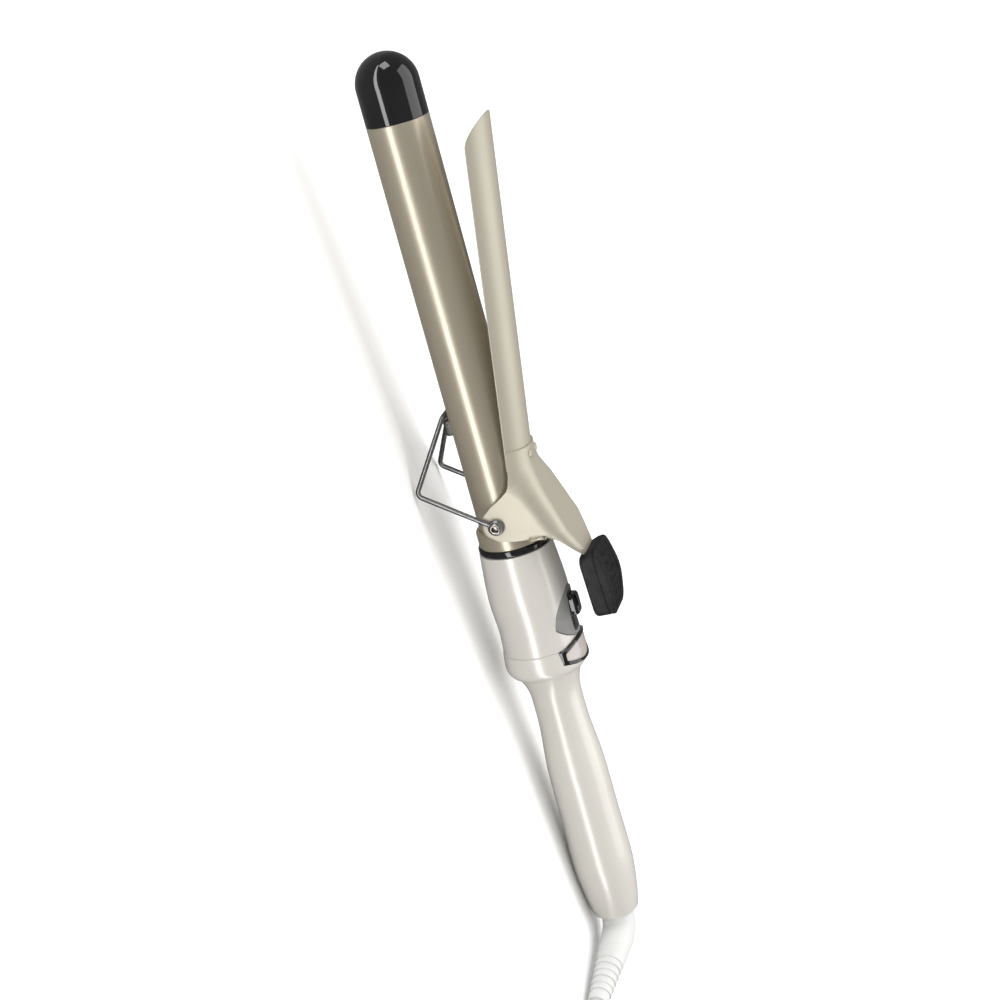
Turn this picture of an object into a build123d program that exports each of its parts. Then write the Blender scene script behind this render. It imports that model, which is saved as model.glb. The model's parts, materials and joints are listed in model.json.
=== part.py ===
from build123d import *
from math import asin, atan2, cos, degrees, hypot, pi, radians, sin, tan
import os

# Curling iron lying on its wire stand. Millimetres.
# The iron's pieces are drawn on its own axis: +X to the tip, +Z to the clamp side, zero at the clamp pivot.
# At the end they are tilted and set down on the surface z = 0, where the cord and its plug are drawn.

# ---- barrel and tip cap ----
barrel_diameter = 25.0
barrel_wall = 0.8
barrel_length = 164.4            # pivot to the cap's joint
barrel_tail = 27.0               # pivot to the barrel's end inside the handle
cap_straight = 13.8
cap_wall = 2.0
cap_skirt_length = 9.0
# ---- ferrule, seal ring and handle ----
ferrule_setback = 4.6            # pivot to the ferrule's front
ferrule_length = 7.2
ferrule_diameter = 28.6
ferrule_spigot_length = 9.0
seal_width = 3.0
seal_diameter = 30.2
handle_wall = 2.0
grip_length = 44.8               # upper handle
grip_outline = [(0.0, 30.6), (0.24, 32.5), (0.54, 33.6), (0.8, 32.4), (1.0, 33.4)]
collar_length = 11.6
collar_outline = [(0.0, 33.8), (0.45, 35.0), (0.8, 34.2), (1.0, 30.4)]
collar_bore = 26.0
collar_spigot = 5.0
lower_length = 119.0             # lower handle
lower_outline = [(0.0, 28.4), (0.03, 25.2), (0.07, 22.2), (0.13, 21.3), (0.19, 21.4), (0.25, 22.2),
                 (0.36, 24.5), (0.52, 25.3), (0.7, 26.0), (0.8, 26.2), (0.91, 23.7), (0.97, 21.4),
                 (1.0, 19.8)]
lip_diameter = 17.8
lip_depth = 4.0
# ---- running fits ----
fit_gap = 0.05                   # radial, pins and shafts
slip_gap = 0.15                  # radial, fixed pieces that slide together
free_gap = 0.3                   # between moving pieces
face_gap = 0.1                   # flat faces that turn past each other
# ---- pivot ----
rivet_diameter = 4.0
rivet_head_diameter = 5.2
rivet_head_height = 1.0
bush_diameter = 6.4
# ---- clamp ----
clamp_opening = 7.9              # degrees that the clamp stands open
tongue_thickness = 0.8
tongue_width = 24.0
tongue_start = 22.0
tongue_tip = 163.8
bracket_thickness = 1.2
ear_radius = 6.6
ear_top = 11.0
bracket_front = 30.0
bend_x = 26.0                    # where the lever starts to rise from the tongue
lever_angle = 26.5
lever_end_x = -14.0
ear_half_width = 15.8            # outside of the ears
bend_half_width = 14.8
lever_half_width = 8.6
tang_length = 24.0
tang_half_width = 5.0
pad_angle = 10.5
pad_sink = 1.1                   # how far the thumb rest sits below the lever's upper end
pad_length = 33.0
pad_width = 18.0
pad_core = 4.4
pad_skin = 1.8
# ---- stand ----
wire_diameter = 2.0
eye_diameter = 6.8
foot_reach = 18.6
foot_drop = 29.0
foot_bend = 2.5
bar_reach = 45.5
bar_half_width = 5.0
# ---- switch and indicator ----
switch_front = 35.4              # behind the pivot
switch_length = 21.6
switch_half_width = 11.6
switch_proud = 0.5
slot_width = 7.0
slot_length = 17.5
slot_inset = 2.4
knob_length = 9.5
knob_height = 3.4
slider_travel = 5.0
slider_depth = 1.4
slider_end_gap = 0.6
window_centre = 62.8
window_half_width = 14.0
window_middle = 11.4
window_end = 5.4
window_frame = 1.5
window_proud = 0.4
# ---- swivel, boot and cord ----
swivel_shaft = 8.0
swivel_disc = 17.2
boot_root_diameter = 16.4
boot_elbow_diameter = 14.4
boot_tip_diameter = 8.8
boot_elbow_radius = 9.5
boot_turn = 78.0
boot_droop = 5.0
boot_straight = 37.0
cord_diameter = 6.2
coil_centre = (-267.0, 47.0)
coil_mean_radius = 34.0
coil_layers = 3
tie_width = 9.0
tie_thickness = 1.2
plug_width = 35.3
plug_thickness = 13.7
plug_body_length = 34.0
plug_boot_length = 15.0
plug_axis_radius = 26.0
plug_past_middle = 2.0
pin_diameter = 4.0
pin_length = 19.0
pin_pitch = 18.6
coil_height = coil_layers * cord_diameter

barrel_radius = barrel_diameter / 2
bore_radius = barrel_radius - barrel_wall
ferrule_rear = -ferrule_setback - ferrule_length
grip_front = ferrule_rear - seal_width
collar_front = grip_front - grip_length
lower_front = collar_front - collar_length
handle_end = lower_front - lower_length
big = 400.0


def along_x(solid):
    """Turns a body drawn on the Z axis onto the X axis."""
    return Rot(0, 90, 0) * solid


def rod(start, end, radius):
    """A round bar on the X axis from start to end."""
    return Pos((start + end) / 2, 0, 0) * along_x(Cylinder(radius, abs(end - start)))


def tube(start, end, outer, inner):
    """A round tube on the X axis."""
    return rod(start, end, outer) - rod(start - big, end + big, inner)


def turned(edges):
    """A body of revolution about the X axis from edges drawn as (x, radius)."""
    return revolve(Plane.XZ * make_face(edges), Axis.X)


def radius_points(front, length, outline, offset):
    """The outline's points as (x, radius + offset), from the front to the back."""
    return [(front - share * length, diameter / 2 + offset) for share, diameter in outline]


def solid_of(front, length, outline, offset=0.0):
    """The filled body inside an outline, moved out by offset."""
    points = radius_points(front, length, outline, offset)
    first, last = points[0], points[-1]
    return turned([Spline(*points), Line(last, (last[0], 0)), Line((last[0], 0), (first[0], 0)),
                   Line((first[0], 0), first)])


def shell_of(front, length, outline, wall):
    """The wall between an outline and the same outline moved in."""
    outer = radius_points(front, length, outline, 0)
    inner = radius_points(front, length, outline, -wall)
    return turned([Spline(*outer), Line(outer[-1], inner[-1]), Spline(*inner), Line(inner[0], outer[0])])


def half(solid, side):
    """The half of a body on one side of the plane y = 0."""
    return solid & Pos(0, side * big / 2, 0) * Box(2 * big, big, 2 * big)


def plan_prism(edges, low, high):
    """A prism with its outline in plan, (x, y), between two heights."""
    return extrude(Pos(0, 0, low) * make_face(edges), high - low)


def side_prism(edges, half_width):
    """A prism with its outline in side view, (x, z), both sides of y = 0."""
    return extrude(Plane.XZ * make_face(edges), half_width, both=True)


def closed(points):
    """Straight edges round a list of points."""
    return Polyline(*points, close=True)


def one(shape):
    """The single solid, or the solids as a group."""
    solids = shape.solids()
    return solids[0] if len(solids) == 1 else Compound(children=solids)


# ---------------- barrel ----------------
def pivot_hole(radius):
    return Rot(90, 0, 0) * Cylinder(radius, 4 * barrel_diameter)


def barrel_tube():
    return tube(-barrel_tail, barrel_length, barrel_radius, bore_radius) - pivot_hole(rivet_diameter / 2)


def tip_cap():
    straight_end = barrel_length + cap_straight
    dome = Pos(straight_end, 0, 0) * Sphere(barrel_radius)
    outside = rod(barrel_length, straight_end, barrel_radius) + dome
    skirt = rod(barrel_length - cap_skirt_length, barrel_length, bore_radius - slip_gap)
    hollow = rod(barrel_length - cap_skirt_length, straight_end, barrel_radius - cap_wall - slip_gap)
    hollow += Pos(straight_end, 0, 0) * Sphere(barrel_radius - cap_wall - slip_gap)
    return outside + skirt - hollow


heater_front = 138.0
heater_back = 58.0
ceramic_length = 60.0
ceramic_width = 12.0
ceramic_thickness = 3.0
holder_wall = 2.0
holder_groove_width = 3.0
holder_groove_depth = 6.0


def heater_holder(side):
    """One of the two aluminium half bars that press the ceramic plate to the barrel."""
    bar = rod(heater_back, heater_front, bore_radius - slip_gap)
    gap = Box(2 * big, 2 * big, ceramic_thickness)
    keep = Pos(0, 0, side * big / 2) * Box(2 * big, 2 * big, big)
    web = ceramic_thickness / 2 + holder_wall
    beyond_web = Pos(0, 0, side * (web + big / 2)) * Box(2 * big, 2 * big, big)
    hollow = rod(-big, big, bore_radius - slip_gap - holder_wall) & beyond_web
    groove = Pos(0, 0, side * bore_radius) * Box(2 * big, holder_groove_width, holder_groove_depth)
    return (bar & keep) - gap - hollow - groove


def heater_ceramic():
    middle = (heater_front + heater_back) / 2
    return Pos(middle, 0, 0) * Box(ceramic_length, ceramic_width, ceramic_thickness)


def heater_wires():
    """Two sleeved wires from the ceramic plate back to the circuit board."""
    start = (heater_front + heater_back - ceramic_length) / 2
    middle = (start + board_front) / 2
    wires = [Pos(middle, y, heater_wire_z) * along_x(Cylinder(sleeve_radius, start - board_front))
             for y in (-heater_wire_y, heater_wire_y)]
    return Compound(children=[one(wire) for wire in wires])


heater_wire_y = 3.5
heater_wire_z = -0.4
sleeve_radius = 0.9
fuse_length = 11.0
fuse_radius = 1.9
fuse_lead_radius = 0.5
fuse_z = 2.9
fuse_setback = 16.0


def thermal_fuse():
    middle = Pos(heater_back - fuse_setback, 0, fuse_z)
    body = middle * along_x(Cylinder(fuse_radius, fuse_length))
    leads = middle * along_x(Cylinder(fuse_lead_radius, 2.4 * fuse_length))
    return body + leads


# ---------------- ferrule and handle ----------------
def barrel_ferrule():
    """The collar at the barrel's foot, with a spigot that the handle shells close on."""
    front = tube(ferrule_rear, -ferrule_setback, ferrule_diameter / 2, barrel_radius + slip_gap)
    rim = front.edges().filter_by(GeomType.CIRCLE).sort_by(Axis.X)[-2:].sort_by(SortBy.RADIUS)[-1]
    front = fillet(rim, ferrule_diameter / 2 - barrel_radius - 3 * slip_gap)
    spigot = tube(grip_front - ferrule_spigot_length, ferrule_rear, spigot_radius, barrel_radius + slip_gap)
    return front + spigot


spigot_radius = grip_outline[0][1] / 2 - handle_wall - slip_gap


def seal_ring():
    ring = tube(grip_front, ferrule_rear, seal_diameter / 2, spigot_radius + slip_gap)
    rims = ring.edges().filter_by(GeomType.CIRCLE).sort_by(SortBy.RADIUS)[-2:]
    return fillet(rims, 0.25 * seal_width)


def upper_shell():
    shell = shell_of(grip_front, grip_length, grip_outline, handle_wall)
    shell -= switch_prism(slip_gap, barrel_radius / 2)
    return shell - window_prism(slip_gap)


def collar_ring():
    """The ring between the upper and the lower handle, with a spigot into each."""
    body = solid_of(collar_front, collar_length, collar_outline)
    front_spigot = rod(collar_front, collar_front + collar_spigot, front_spigot_radius)
    rear_spigot = rod(lower_front - collar_spigot, lower_front, rear_spigot_radius)
    bore = rod(lower_front + handle_wall, collar_front + 2 * collar_spigot,
               front_spigot_radius - handle_wall)
    through = rod(lower_front - 2 * collar_spigot, collar_front, rear_spigot_radius - handle_wall)
    return body + front_spigot + rear_spigot - bore - through - window_prism(slip_gap)


front_spigot_radius = min(d for s, d in grip_outline[-2:]) / 2 - handle_wall - 2 * slip_gap
rear_spigot_radius = min(d for s, d in lower_outline[:3]) / 2 - handle_wall - 2 * slip_gap


def lower_shell():
    shell = shell_of(lower_front, lower_length, lower_outline, handle_wall)
    return shell - rod(handle_end - 1, handle_end + lip_depth, lip_diameter / 2)


screw_places = [0.3, 0.6]        # shares of the lower handle's length
boss_radius = 2.6
boss_drop = 4.4                  # below the axis
screw_radius = 1.2
screw_half_length = 7.0


def boss_line(share, radius, reach):
    """A bar across the handle at a share of the lower handle's length, below the axis."""
    x = lower_front - share * lower_length
    return Pos(x, 0, -boss_drop) * Rot(90, 0, 0) * Cylinder(radius, 2 * reach)


def lower_half(side):
    """A lower handle shell with the screw bosses inside it."""
    shell = lower_shell()
    inside = solid_of(lower_front, lower_length, lower_outline, -handle_wall / 2)
    for share in screw_places:
        shell += boss_line(share, boss_radius, big / 4) & inside
    for share in screw_places:
        shell -= boss_line(share, screw_radius + slip_gap, screw_half_length + 0.5)
    return half(shell, side)


def handle_screws():
    """Screws in the bosses of the lower handle."""
    screws = [one(boss_line(share, screw_radius, screw_half_length)) for share in screw_places]
    return Compound(children=screws)


# ---------------- switch ----------------
def switch_prism(gap, low):
    """The teardrop outline of the switch plate, pointing at the tip, cut down through the handle."""
    front, back = -switch_front + gap, -switch_front - switch_length - gap
    wide = switch_half_width + gap
    shoulder = front - 0.36 * switch_length
    corner = back + 0.3 * switch_length
    edges = [Spline((front, 0), (shoulder, wide * 0.86), (corner, wide), tangents=((-0.35, 1), (-1, 0))),
             ThreePointArc((corner, wide), (back, 0), (corner, -wide)),
             Spline((corner, -wide), (shoulder, -wide * 0.86), (front, 0), tangents=((1, 0), (0.35, 1)))]
    return plan_prism(edges, low, big / 4)


def slot_prism(gap):
    front, back = -switch_front - slot_inset + gap, -switch_front - slot_inset - slot_length - gap
    return Pos((front + back) / 2, 0, big / 8) * Box(front - back, slot_width + 2 * gap, big / 4)


def switch_plate():
    """The grey plate that follows the handle's surface, with the slider's slot."""
    skin = solid_of(grip_front, grip_length, grip_outline, switch_proud)
    skin -= solid_of(grip_front, grip_length, grip_outline, -handle_wall + 0.4)
    return (skin & switch_prism(0, barrel_radius / 2)) - slot_prism(0)


surface_z = grip_outline[2][1] / 2
knob_root = 0.2                  # how far the knob goes into its strip


def switch_slider():
    """The black slider: a strip in the slot with a raised thumb knob."""
    length = slot_length - slider_travel - 2 * slider_end_gap
    x = -switch_front - slot_inset - slider_end_gap - length / 2
    strip = Pos(x, 0, surface_z - slider_depth / 2) * Box(length, slot_width - 2 * free_gap, slider_depth)
    tall = knob_height + knob_root
    knob = Pos(x, 0, surface_z - knob_root + tall / 2) * Box(knob_length, slot_width - 3 * free_gap, tall)
    knob = fillet(knob.edges().filter_by(Axis.Y).group_by(Axis.Z)[-1], 0.45 * knob_height)
    return strip + knob


def switch_body():
    """The sealed switch under the plate, whose top closes the slot."""
    length = slot_length - 1.2
    x = -switch_front - slot_inset - 0.2 - length / 2
    top = surface_z - handle_wall - 0.9
    core_top = surface_z - slider_depth - free_gap
    core = Pos(x, 0, (core_top + top - 2) / 2) * Box(length, slot_width - 2 * free_gap, core_top - top + 2)
    return core + Pos(x, 0, top - 3.5) * Box(length, 9.0, 7.0)


# ---------------- indicator ----------------
def window_outline(gap):
    wide, middle, end = window_half_width + gap, window_middle / 2 + gap, window_end / 2 + gap
    x = -window_centre
    front = ThreePointArc((x + end, -wide), (x + middle, 0), (x + end, wide))
    back = ThreePointArc((x - end, wide), (x - middle, 0), (x - end, -wide))
    return [front, Line((x + end, wide), (x - end, wide)), back, Line((x - end, -wide), (x + end, -wide))]


def window_prism(gap):
    return plan_prism(window_outline(gap), barrel_radius / 4, big / 4)


def window_skin(proud, deep):
    """A curved plate over the collar between two radii, on the clamp side."""
    crest = collar_outline[1][1] / 2
    plate = tube(-window_centre - window_middle, -window_centre + window_middle, crest + proud, crest - deep)
    return plate & window_prism(0)


def indicator_frame():
    inner = plan_prism(window_outline(-window_frame), 0, big / 4)
    return window_skin(window_proud, 3.0) - inner


def indicator_lens():
    inner = plan_prism(window_outline(-window_frame - fit_gap), 0, big / 4)
    return window_skin(window_proud - 0.3, 1.8) & inner


def indicator_lamp():
    crest = collar_outline[1][1] / 2
    bulb_top = crest - 2.4
    stem = Pos(-window_centre, 0, bulb_top - 4.0) * Cylinder(1.5, 5.0)
    return stem + Pos(-window_centre, 0, bulb_top - 1.5) * Sphere(1.5)


# ---------------- electrics ----------------
board_front = -30.0
board_length = 34.0
board_width = 17.0
board_z = -0.8 - 1.4 - 0.9


def circuit_board():
    """The board on the handle's floor, with its power parts standing on it."""
    board = Pos(board_front - board_length / 2, 0, board_z) * Box(board_length, board_width, 1.6)
    capacitor = Pos(board_front - 8, 0, board_z + 3.1) * Box(11, 5, 4.6)
    triac = Pos(board_front - 21, -5, board_z + 2.8) * Box(6, 5, 4)
    return board + capacitor + triac


def mains_wires():
    """Two wires from the slip ring brushes to the board."""
    start, end = board_front - board_length, brush_front
    wires = [one(Pos((start + end) / 2, y, 0) * along_x(Cylinder(0.9, start - end))) for y in (-3.0, 3.0)]
    return Compound(children=wires)


ring_front = handle_end + 31.0
brush_front = ring_front + 1.0


def swivel_bush():
    """The fixed bush that the cord's core turns in, shaped to the inside of the handle's end."""
    back, front = handle_end + 7.0, handle_end + 19.0
    inside = solid_of(lower_front, lower_length, lower_outline, -handle_wall - slip_gap)
    return (rod(back, front, barrel_radius) & inside) - rod(back - 1, front + 1, swivel_shaft / 2 + fit_gap)


def swivel_core():
    """The turning core: a shaft with a flange each side of the bush and a disc at the handle's lip."""
    shaft = rod(handle_end - 0.5, ring_front, swivel_shaft / 2)
    flange = rod(handle_end + 19.0 + free_gap, handle_end + 21.5, swivel_shaft / 2 + 2)
    disc = rod(handle_end - 0.5, handle_end + 2.5, swivel_disc / 2)
    grooves = [tube(x - 3.6, x, big, swivel_shaft / 2 - 1) for x in ring_starts]
    return shaft + flange + disc - grooves


ring_starts = [ring_front - 1.0, ring_front - 5.4]


def slip_rings():
    rings = [one(tube(x - 3.6, x, swivel_shaft / 2 + 0.4, swivel_shaft / 2 - 1)) for x in ring_starts]
    return Compound(children=rings)


def contact_brushes():
    """Two sprung fingers fixed in the handle, one over each slip ring."""
    inside = lower_outline[9][1] / 2 - handle_wall
    fingers = []
    for x in ring_starts:
        low, high = swivel_shaft / 2 + 0.4 + fit_gap, inside - 1.2
        fingers.append(one(Pos(x - 1.8, 0, (low + high) / 2) * Box(2.4, 4.0, high - low)))
    return Compound(children=fingers)


# ---------------- pivot, clamp ----------------
bush_face = ear_half_width - bracket_thickness


def pivot_bushes():
    """Spacers on the rivets between the barrel and the clamp's ears."""
    bushes = []
    for side in (-1, 1):
        low, high = barrel_radius + slip_gap, bush_face - fit_gap
        bush = Pos(0, side * (low + high) / 2, 0) * Rot(90, 0, 0) * Cylinder(bush_diameter / 2, high - low)
        bushes.append(one(bush - pivot_hole(rivet_diameter / 2)))
    return Compound(children=bushes)


eye_low = ear_half_width + face_gap
eye_high = eye_low + wire_diameter


def pivot_rivets():
    """A headed rivet through each side of the barrel, holding the ear and the stand's eye."""
    rivets = []
    for side in (-1, 1):
        low, high = bore_radius - 1.0, eye_high + face_gap
        shank = Pos(0, side * (low + high) / 2, 0) * Rot(90, 0, 0) * Cylinder(rivet_diameter / 2, high - low)
        head_y = side * (high + rivet_head_height / 2)
        head = Pos(0, head_y, 0) * Rot(90, 0, 0) * Cylinder(rivet_head_diameter / 2, rivet_head_height)
        rivets.append(one(shank + head))
    return Compound(children=rivets)


def clamp_tongue():
    """The long curved jaw that closes on the barrel, with a rounded end."""
    inner = barrel_radius + free_gap
    wide = tongue_width / 2
    jaw = tube(tongue_start, tongue_tip, inner + tongue_thickness, inner)
    edges = [Line((tongue_start, -wide), (tongue_tip - wide, -wide)),
             ThreePointArc((tongue_tip - wide, -wide), (tongue_tip, 0), (tongue_tip - wide, wide)),
             Line((tongue_tip - wide, wide), (tongue_start, wide)),
             Line((tongue_start, wide), (tongue_start, -wide))]
    return (jaw & plan_prism(edges, 0, big)) - rivet_hole(tongue_rivet_radius)


tongue_rivet_radius = 1.5
tongue_crest = barrel_radius + free_gap + tongue_thickness
plate_under = tongue_crest + 0.02
rivet_x = bend_x + 0.4
rivet_y = 3.4


def rivet_hole(radius):
    holes = [Pos(rivet_x, y, tongue_crest) * Cylinder(radius, 20) for y in (-rivet_y, rivet_y)]
    return holes[0] + holes[1]


def tongue_rivets():
    """Two short rivets that hold the tongue to its bracket."""
    low, high = barrel_radius + free_gap + 0.1, plate_under + bracket_thickness + 0.5
    rivets = []
    for y in (-rivet_y, rivet_y):
        rivets.append(one(Pos(rivet_x, y, (low + high) / 2) * Cylinder(tongue_rivet_radius, high - low)))
    return Compound(children=rivets)


rise = tan(radians(lever_angle))
bracket_top = plate_under + bracket_thickness
lever_top_z = bracket_top + (bend_x - lever_end_x) * rise


def bracket_side():
    """The bracket in side view: the top line, the lever's underside, the ear, and the tongue's side."""
    return closed([(bracket_front, bracket_top), (bend_x, bracket_top), (lever_end_x, lever_top_z),
                   (lever_end_x - 3.0, lever_top_z + 1.2), (lever_end_x - 3.0, lever_top_z - 2.2),
                   (-7.4, 24.6), (-4.9, 19.4), (-ear_radius, 7.0), (-ear_radius, 0),
                   (-0.5 * ear_radius, -0.8 * ear_radius), (0.5 * ear_radius, -0.8 * ear_radius),
                   (ear_radius + 1.4, -1.8), (11.6, 2.8), (15.4, 7.9), (21.0, 9.6), (bracket_front, 10.4)])


def bracket_plan(inset):
    """The bracket in plan, narrower towards the thumb rest."""
    points = [(bracket_front, bend_half_width - inset), (14.0, ear_half_width - inset),
              (-4.0, ear_half_width - inset), (lever_end_x - 3.0, lever_half_width - inset)]
    mirrored = [(x, -y) for x, y in reversed(points)]
    return closed(points + mirrored)


def clamp_bracket():
    """The pressed channel that carries the tongue, the ears and the thumb rest."""
    outside = side_prism(bracket_side(), big) & plan_prism(bracket_plan(0), -big, big)
    inside = side_prism(under_bracket(), big) & plan_prism(bracket_plan(bracket_thickness), -big, big)
    channel = outside - inside
    channel -= Pos(-4.0 - big / 2, 0, ear_top - big / 2) * Box(big, 2 * big, big)
    for side in (-1, 1):
        channel += Pos(0, side * (ear_half_width - bracket_thickness / 2), 0) * ear_plate()
    channel -= pivot_hole(rivet_diameter / 2 + fit_gap)
    channel -= rivet_hole(tongue_rivet_radius)
    tang = Pos(*pad_middle) * Rot(0, pad_angle, 0) * Box(tang_length, 2 * tang_half_width, bracket_thickness)
    return channel + tang


def ear_plate():
    """The flat lug round the rivet, in the plane of the channel's widest stretch."""
    lug = closed([(-ear_radius, ear_top + 2), (-ear_radius, 0), (-0.5 * ear_radius, -0.8 * ear_radius),
                  (0.5 * ear_radius, -0.8 * ear_radius), (ear_radius + 1.4, -1.8),
                  (ear_radius + 1.4, ear_top + 2)])
    return side_prism(lug, bracket_thickness / 2)


def under_bracket():
    """The space under the bracket's top, in side view, open downwards."""
    lean = bracket_thickness / cos(radians(lever_angle))
    level = bracket_top - bracket_thickness
    return closed([(bracket_front + 1, level), (bend_x, level),
                   (lever_end_x - 3.1, lever_top_z + 3.1 * rise - lean), (lever_end_x - 3.1, -big / 4),
                   (bracket_front + 1, -big / 4)])


# ---------------- thumb rest ----------------
pad_front = lever_end_x + 3.0
pad_middle = (pad_front - pad_length / 2 * cos(radians(pad_angle)), 0,
              lever_top_z - pad_sink + pad_length / 2 * sin(radians(pad_angle)))


def pad_block(length, width, low, high, corner):
    """A rounded block on the thumb rest's own axes."""
    block = Pos(0, 0, (low + high) / 2) * Box(length, width, high - low)
    block = fillet(block.edges().filter_by(Axis.Z), corner)
    return block


def in_pad(shape):
    return Pos(*pad_middle) * Rot(0, pad_angle, 0) * shape


def slanted_front(shape):
    """Cuts the front end back where the lever comes in from below."""
    front = pad_length / 2
    wedge = side_prism(closed([(front + 1, 2.0), (front - 0.5, 1.6), (front - 8.0, -pad_core),
                               (front + 1, -pad_core - 2)]), big)
    return shape - wedge


def thumb_rest_base():
    """The stiff lower half of the thumb rest, moulded round the tang."""
    shape = pad_block(pad_length, pad_width, -pad_core, 1.6, 4.0)
    shape = slanted_front(shape)
    shape = in_pad(shape)
    tang = in_pad(Box(tang_length + 2 * slip_gap, 2 * (tang_half_width + slip_gap),
                      bracket_thickness + 2 * slip_gap))
    entry = side_prism(bracket_side(), big) & plan_prism(bracket_plan(0), -big, big)
    hole = in_pad(Cylinder(pad_screw_radius, 2 * pad_core))
    return shape - tang - entry - hole


pad_screw_radius = 1.3


def thumb_rest_screw():
    """The screw that holds the thumb rest to the tang."""
    shank = Pos(0, 0, -pad_core / 2 - 0.3) * Cylinder(pad_screw_radius, pad_core - 0.6)
    return in_pad(shank)


pad_ribs = [-7.5, -2.5, 2.5, 7.5]


def thumb_rest_grip():
    """The rubber top, with raised ribs in a shallow recess."""
    skin = pad_block(pad_length, pad_width, 1.6, 1.6 + pad_skin, 4.0)
    recess = pad_block(pad_length - 7, pad_width - 6, 1.6 + 0.5 * pad_skin, 4 + pad_skin, 3.0)
    ribs = [Pos(x, 0, 1.6 + 0.6 * pad_skin) * Box(1.2, pad_width - 9, 0.7 * pad_skin) for x in pad_ribs]
    shape = skin - recess
    for rib in ribs:
        shape += rib
    return in_pad(shape)


def torsion_spring():
    """The return spring, as the closed sleeve of its turns round one pivot bush, with its two legs."""
    low = barrel_radius + slip_gap
    y = low + 0.95
    sleeve = Pos(0, y, 0) * Rot(90, 0, 0) * (Cylinder(bush_diameter / 2 + slip_gap + 0.7, 1.6)
                                            - Cylinder(bush_diameter / 2 + slip_gap, 3))
    leg = Pos(bush_diameter / 2 + slip_gap + 0.4, y, 3.5) * Box(0.8, 1.0, 7.0)
    return sleeve + leg


# ---------------- stand ----------------
def wire_path():
    """The bent wire's middle line, from one eye round by the foot and the bar to the other eye."""
    y = (eye_low + eye_high) / 2
    reach = eye_diameter / 2 - wire_diameter / 2
    lean = atan2(foot_drop, foot_reach)
    start = (reach * cos(lean), -reach * sin(lean))
    bar_z = -(barrel_radius + wire_diameter / 2 + free_gap)
    points = [(start[0], y, start[1]), (foot_reach, y, -foot_drop), (bar_reach, bar_half_width, bar_z),
              (bar_reach, -bar_half_width, bar_z), (foot_reach, -y, -foot_drop), (start[0], -y, start[1])]
    return FilletPolyline(*points, radius=foot_bend)


def stand_wire():
    path = wire_path()
    start = path @ 0
    section = Plane(origin=start, z_dir=path % 0) * Circle(wire_diameter / 2)
    wire = sweep(section, path)
    for side in (-1, 1):
        y = side * (eye_low + eye_high) / 2
        hole = Cylinder(rivet_diameter / 2 + fit_gap, 2 * wire_diameter)
        eye = Cylinder(eye_diameter / 2, wire_diameter) - hole
        bore = Pos(0, y, 0) * Rot(90, 0, 0) * hole
        wire = wire + Pos(0, y, 0) * Rot(90, 0, 0) * eye - bore
    return wire


def stand_catch():
    """The small stop on the barrel's back that the wire's bar clips behind."""
    x = bar_reach - wire_diameter / 2 - free_gap - 4.2
    block = Pos(x, 0, -barrel_radius - 1.0) * Box(7.0, 5.0, 4.0)
    block = fillet(block.edges().filter_by(Axis.Y).group_by(Axis.Z)[0], 1.2)
    return block - rod(-big / 2, big / 2, barrel_radius)


# ---------------- boot, on the swivel ----------------
def boot():
    """The strain relief: a short cone at the lip, an elbow, and a long taper to the cord."""
    root_x = handle_end - 0.5
    cone_length = 1.5
    cone = Pos(root_x - cone_length / 2, 0, 0) * Rot(0, -90, 0) * Cone(boot_root_diameter / 2,
                                                                      boot_elbow_diameter / 2, cone_length)
    elbow_x = root_x - cone_length
    ring = Plane(origin=(elbow_x, 0, 0), z_dir=(-1, 0, 0)) * Circle(boot_elbow_diameter / 2)
    axis = Axis((elbow_x, boot_elbow_radius, 0), (0, 0, -1))
    elbow = revolve(ring, axis, boot_turn)
    turn = radians(boot_turn)
    end = Vector(elbow_x - boot_elbow_radius * sin(turn), boot_elbow_radius * (1 - cos(turn)), 0)
    way = Vector(-cos(turn), sin(turn), 0)
    near = Plane(origin=end, z_dir=way) * Circle(boot_elbow_diameter / 2)
    far = Plane(origin=end + way * boot_straight, z_dir=way) * Circle(boot_tip_diameter / 2)
    taper = loft([near, far])
    tip = end + way * boot_straight
    droop = Rot(-boot_droop, 0, 0)
    return droop * (cone + elbow + taper), droop * Pos(tip.X, tip.Y, tip.Z), droop * Pos(way.X, way.Y, way.Z)


# ---------------- cord and plug, drawn on the surface ----------------
def cord_route():
    """The cord's points from the boot's tip to the coil, in the laid frame."""
    r = cord_diameter / 2
    return [(-207.6, 43.55, 5.5), (-211.4, 61.8, 3.5), (-220.5, 76.4, r), (-234.5, 85.8, r),
            (-251.0, 88.4, r), (-267.0, 87.0, r)]


def cord_lead():
    points = cord_route()
    radii = []
    for before, here, after in zip(points, points[1:], points[2:]):
        into, out = Vector(*here) - Vector(*before), Vector(*after) - Vector(*here)
        radii.append(0.45 * min(into.length, out.length) / tan(radians(into.get_angle(out)) / 2))
    print("cord bend radii, mm:", [round(radius, 1) for radius in radii])
    path = FilletPolyline(*points, radius=radii)
    section = Plane(origin=path @ 0, z_dir=path % 0) * Circle(cord_diameter / 2)
    lead = sweep(section, path)
    share = lead.volume / (pi * (cord_diameter / 2) ** 2 * path.length)
    print("cord tube volume / (section x length):", round(share, 4))
    print("cord tube length, mm:", round(path.length, 1))
    return lead


def cord_coil():
    """The outer shape of the coiled cord: a ring with rounded edges."""
    wide = 1.5 * cord_diameter
    ring = Cylinder(coil_mean_radius + wide, coil_height) - Cylinder(coil_mean_radius - wide, coil_height)
    ring = fillet(ring.edges().filter_by(GeomType.CIRCLE), 2.4)
    return Pos(coil_centre[0], coil_centre[1], coil_height / 2) * ring


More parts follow.
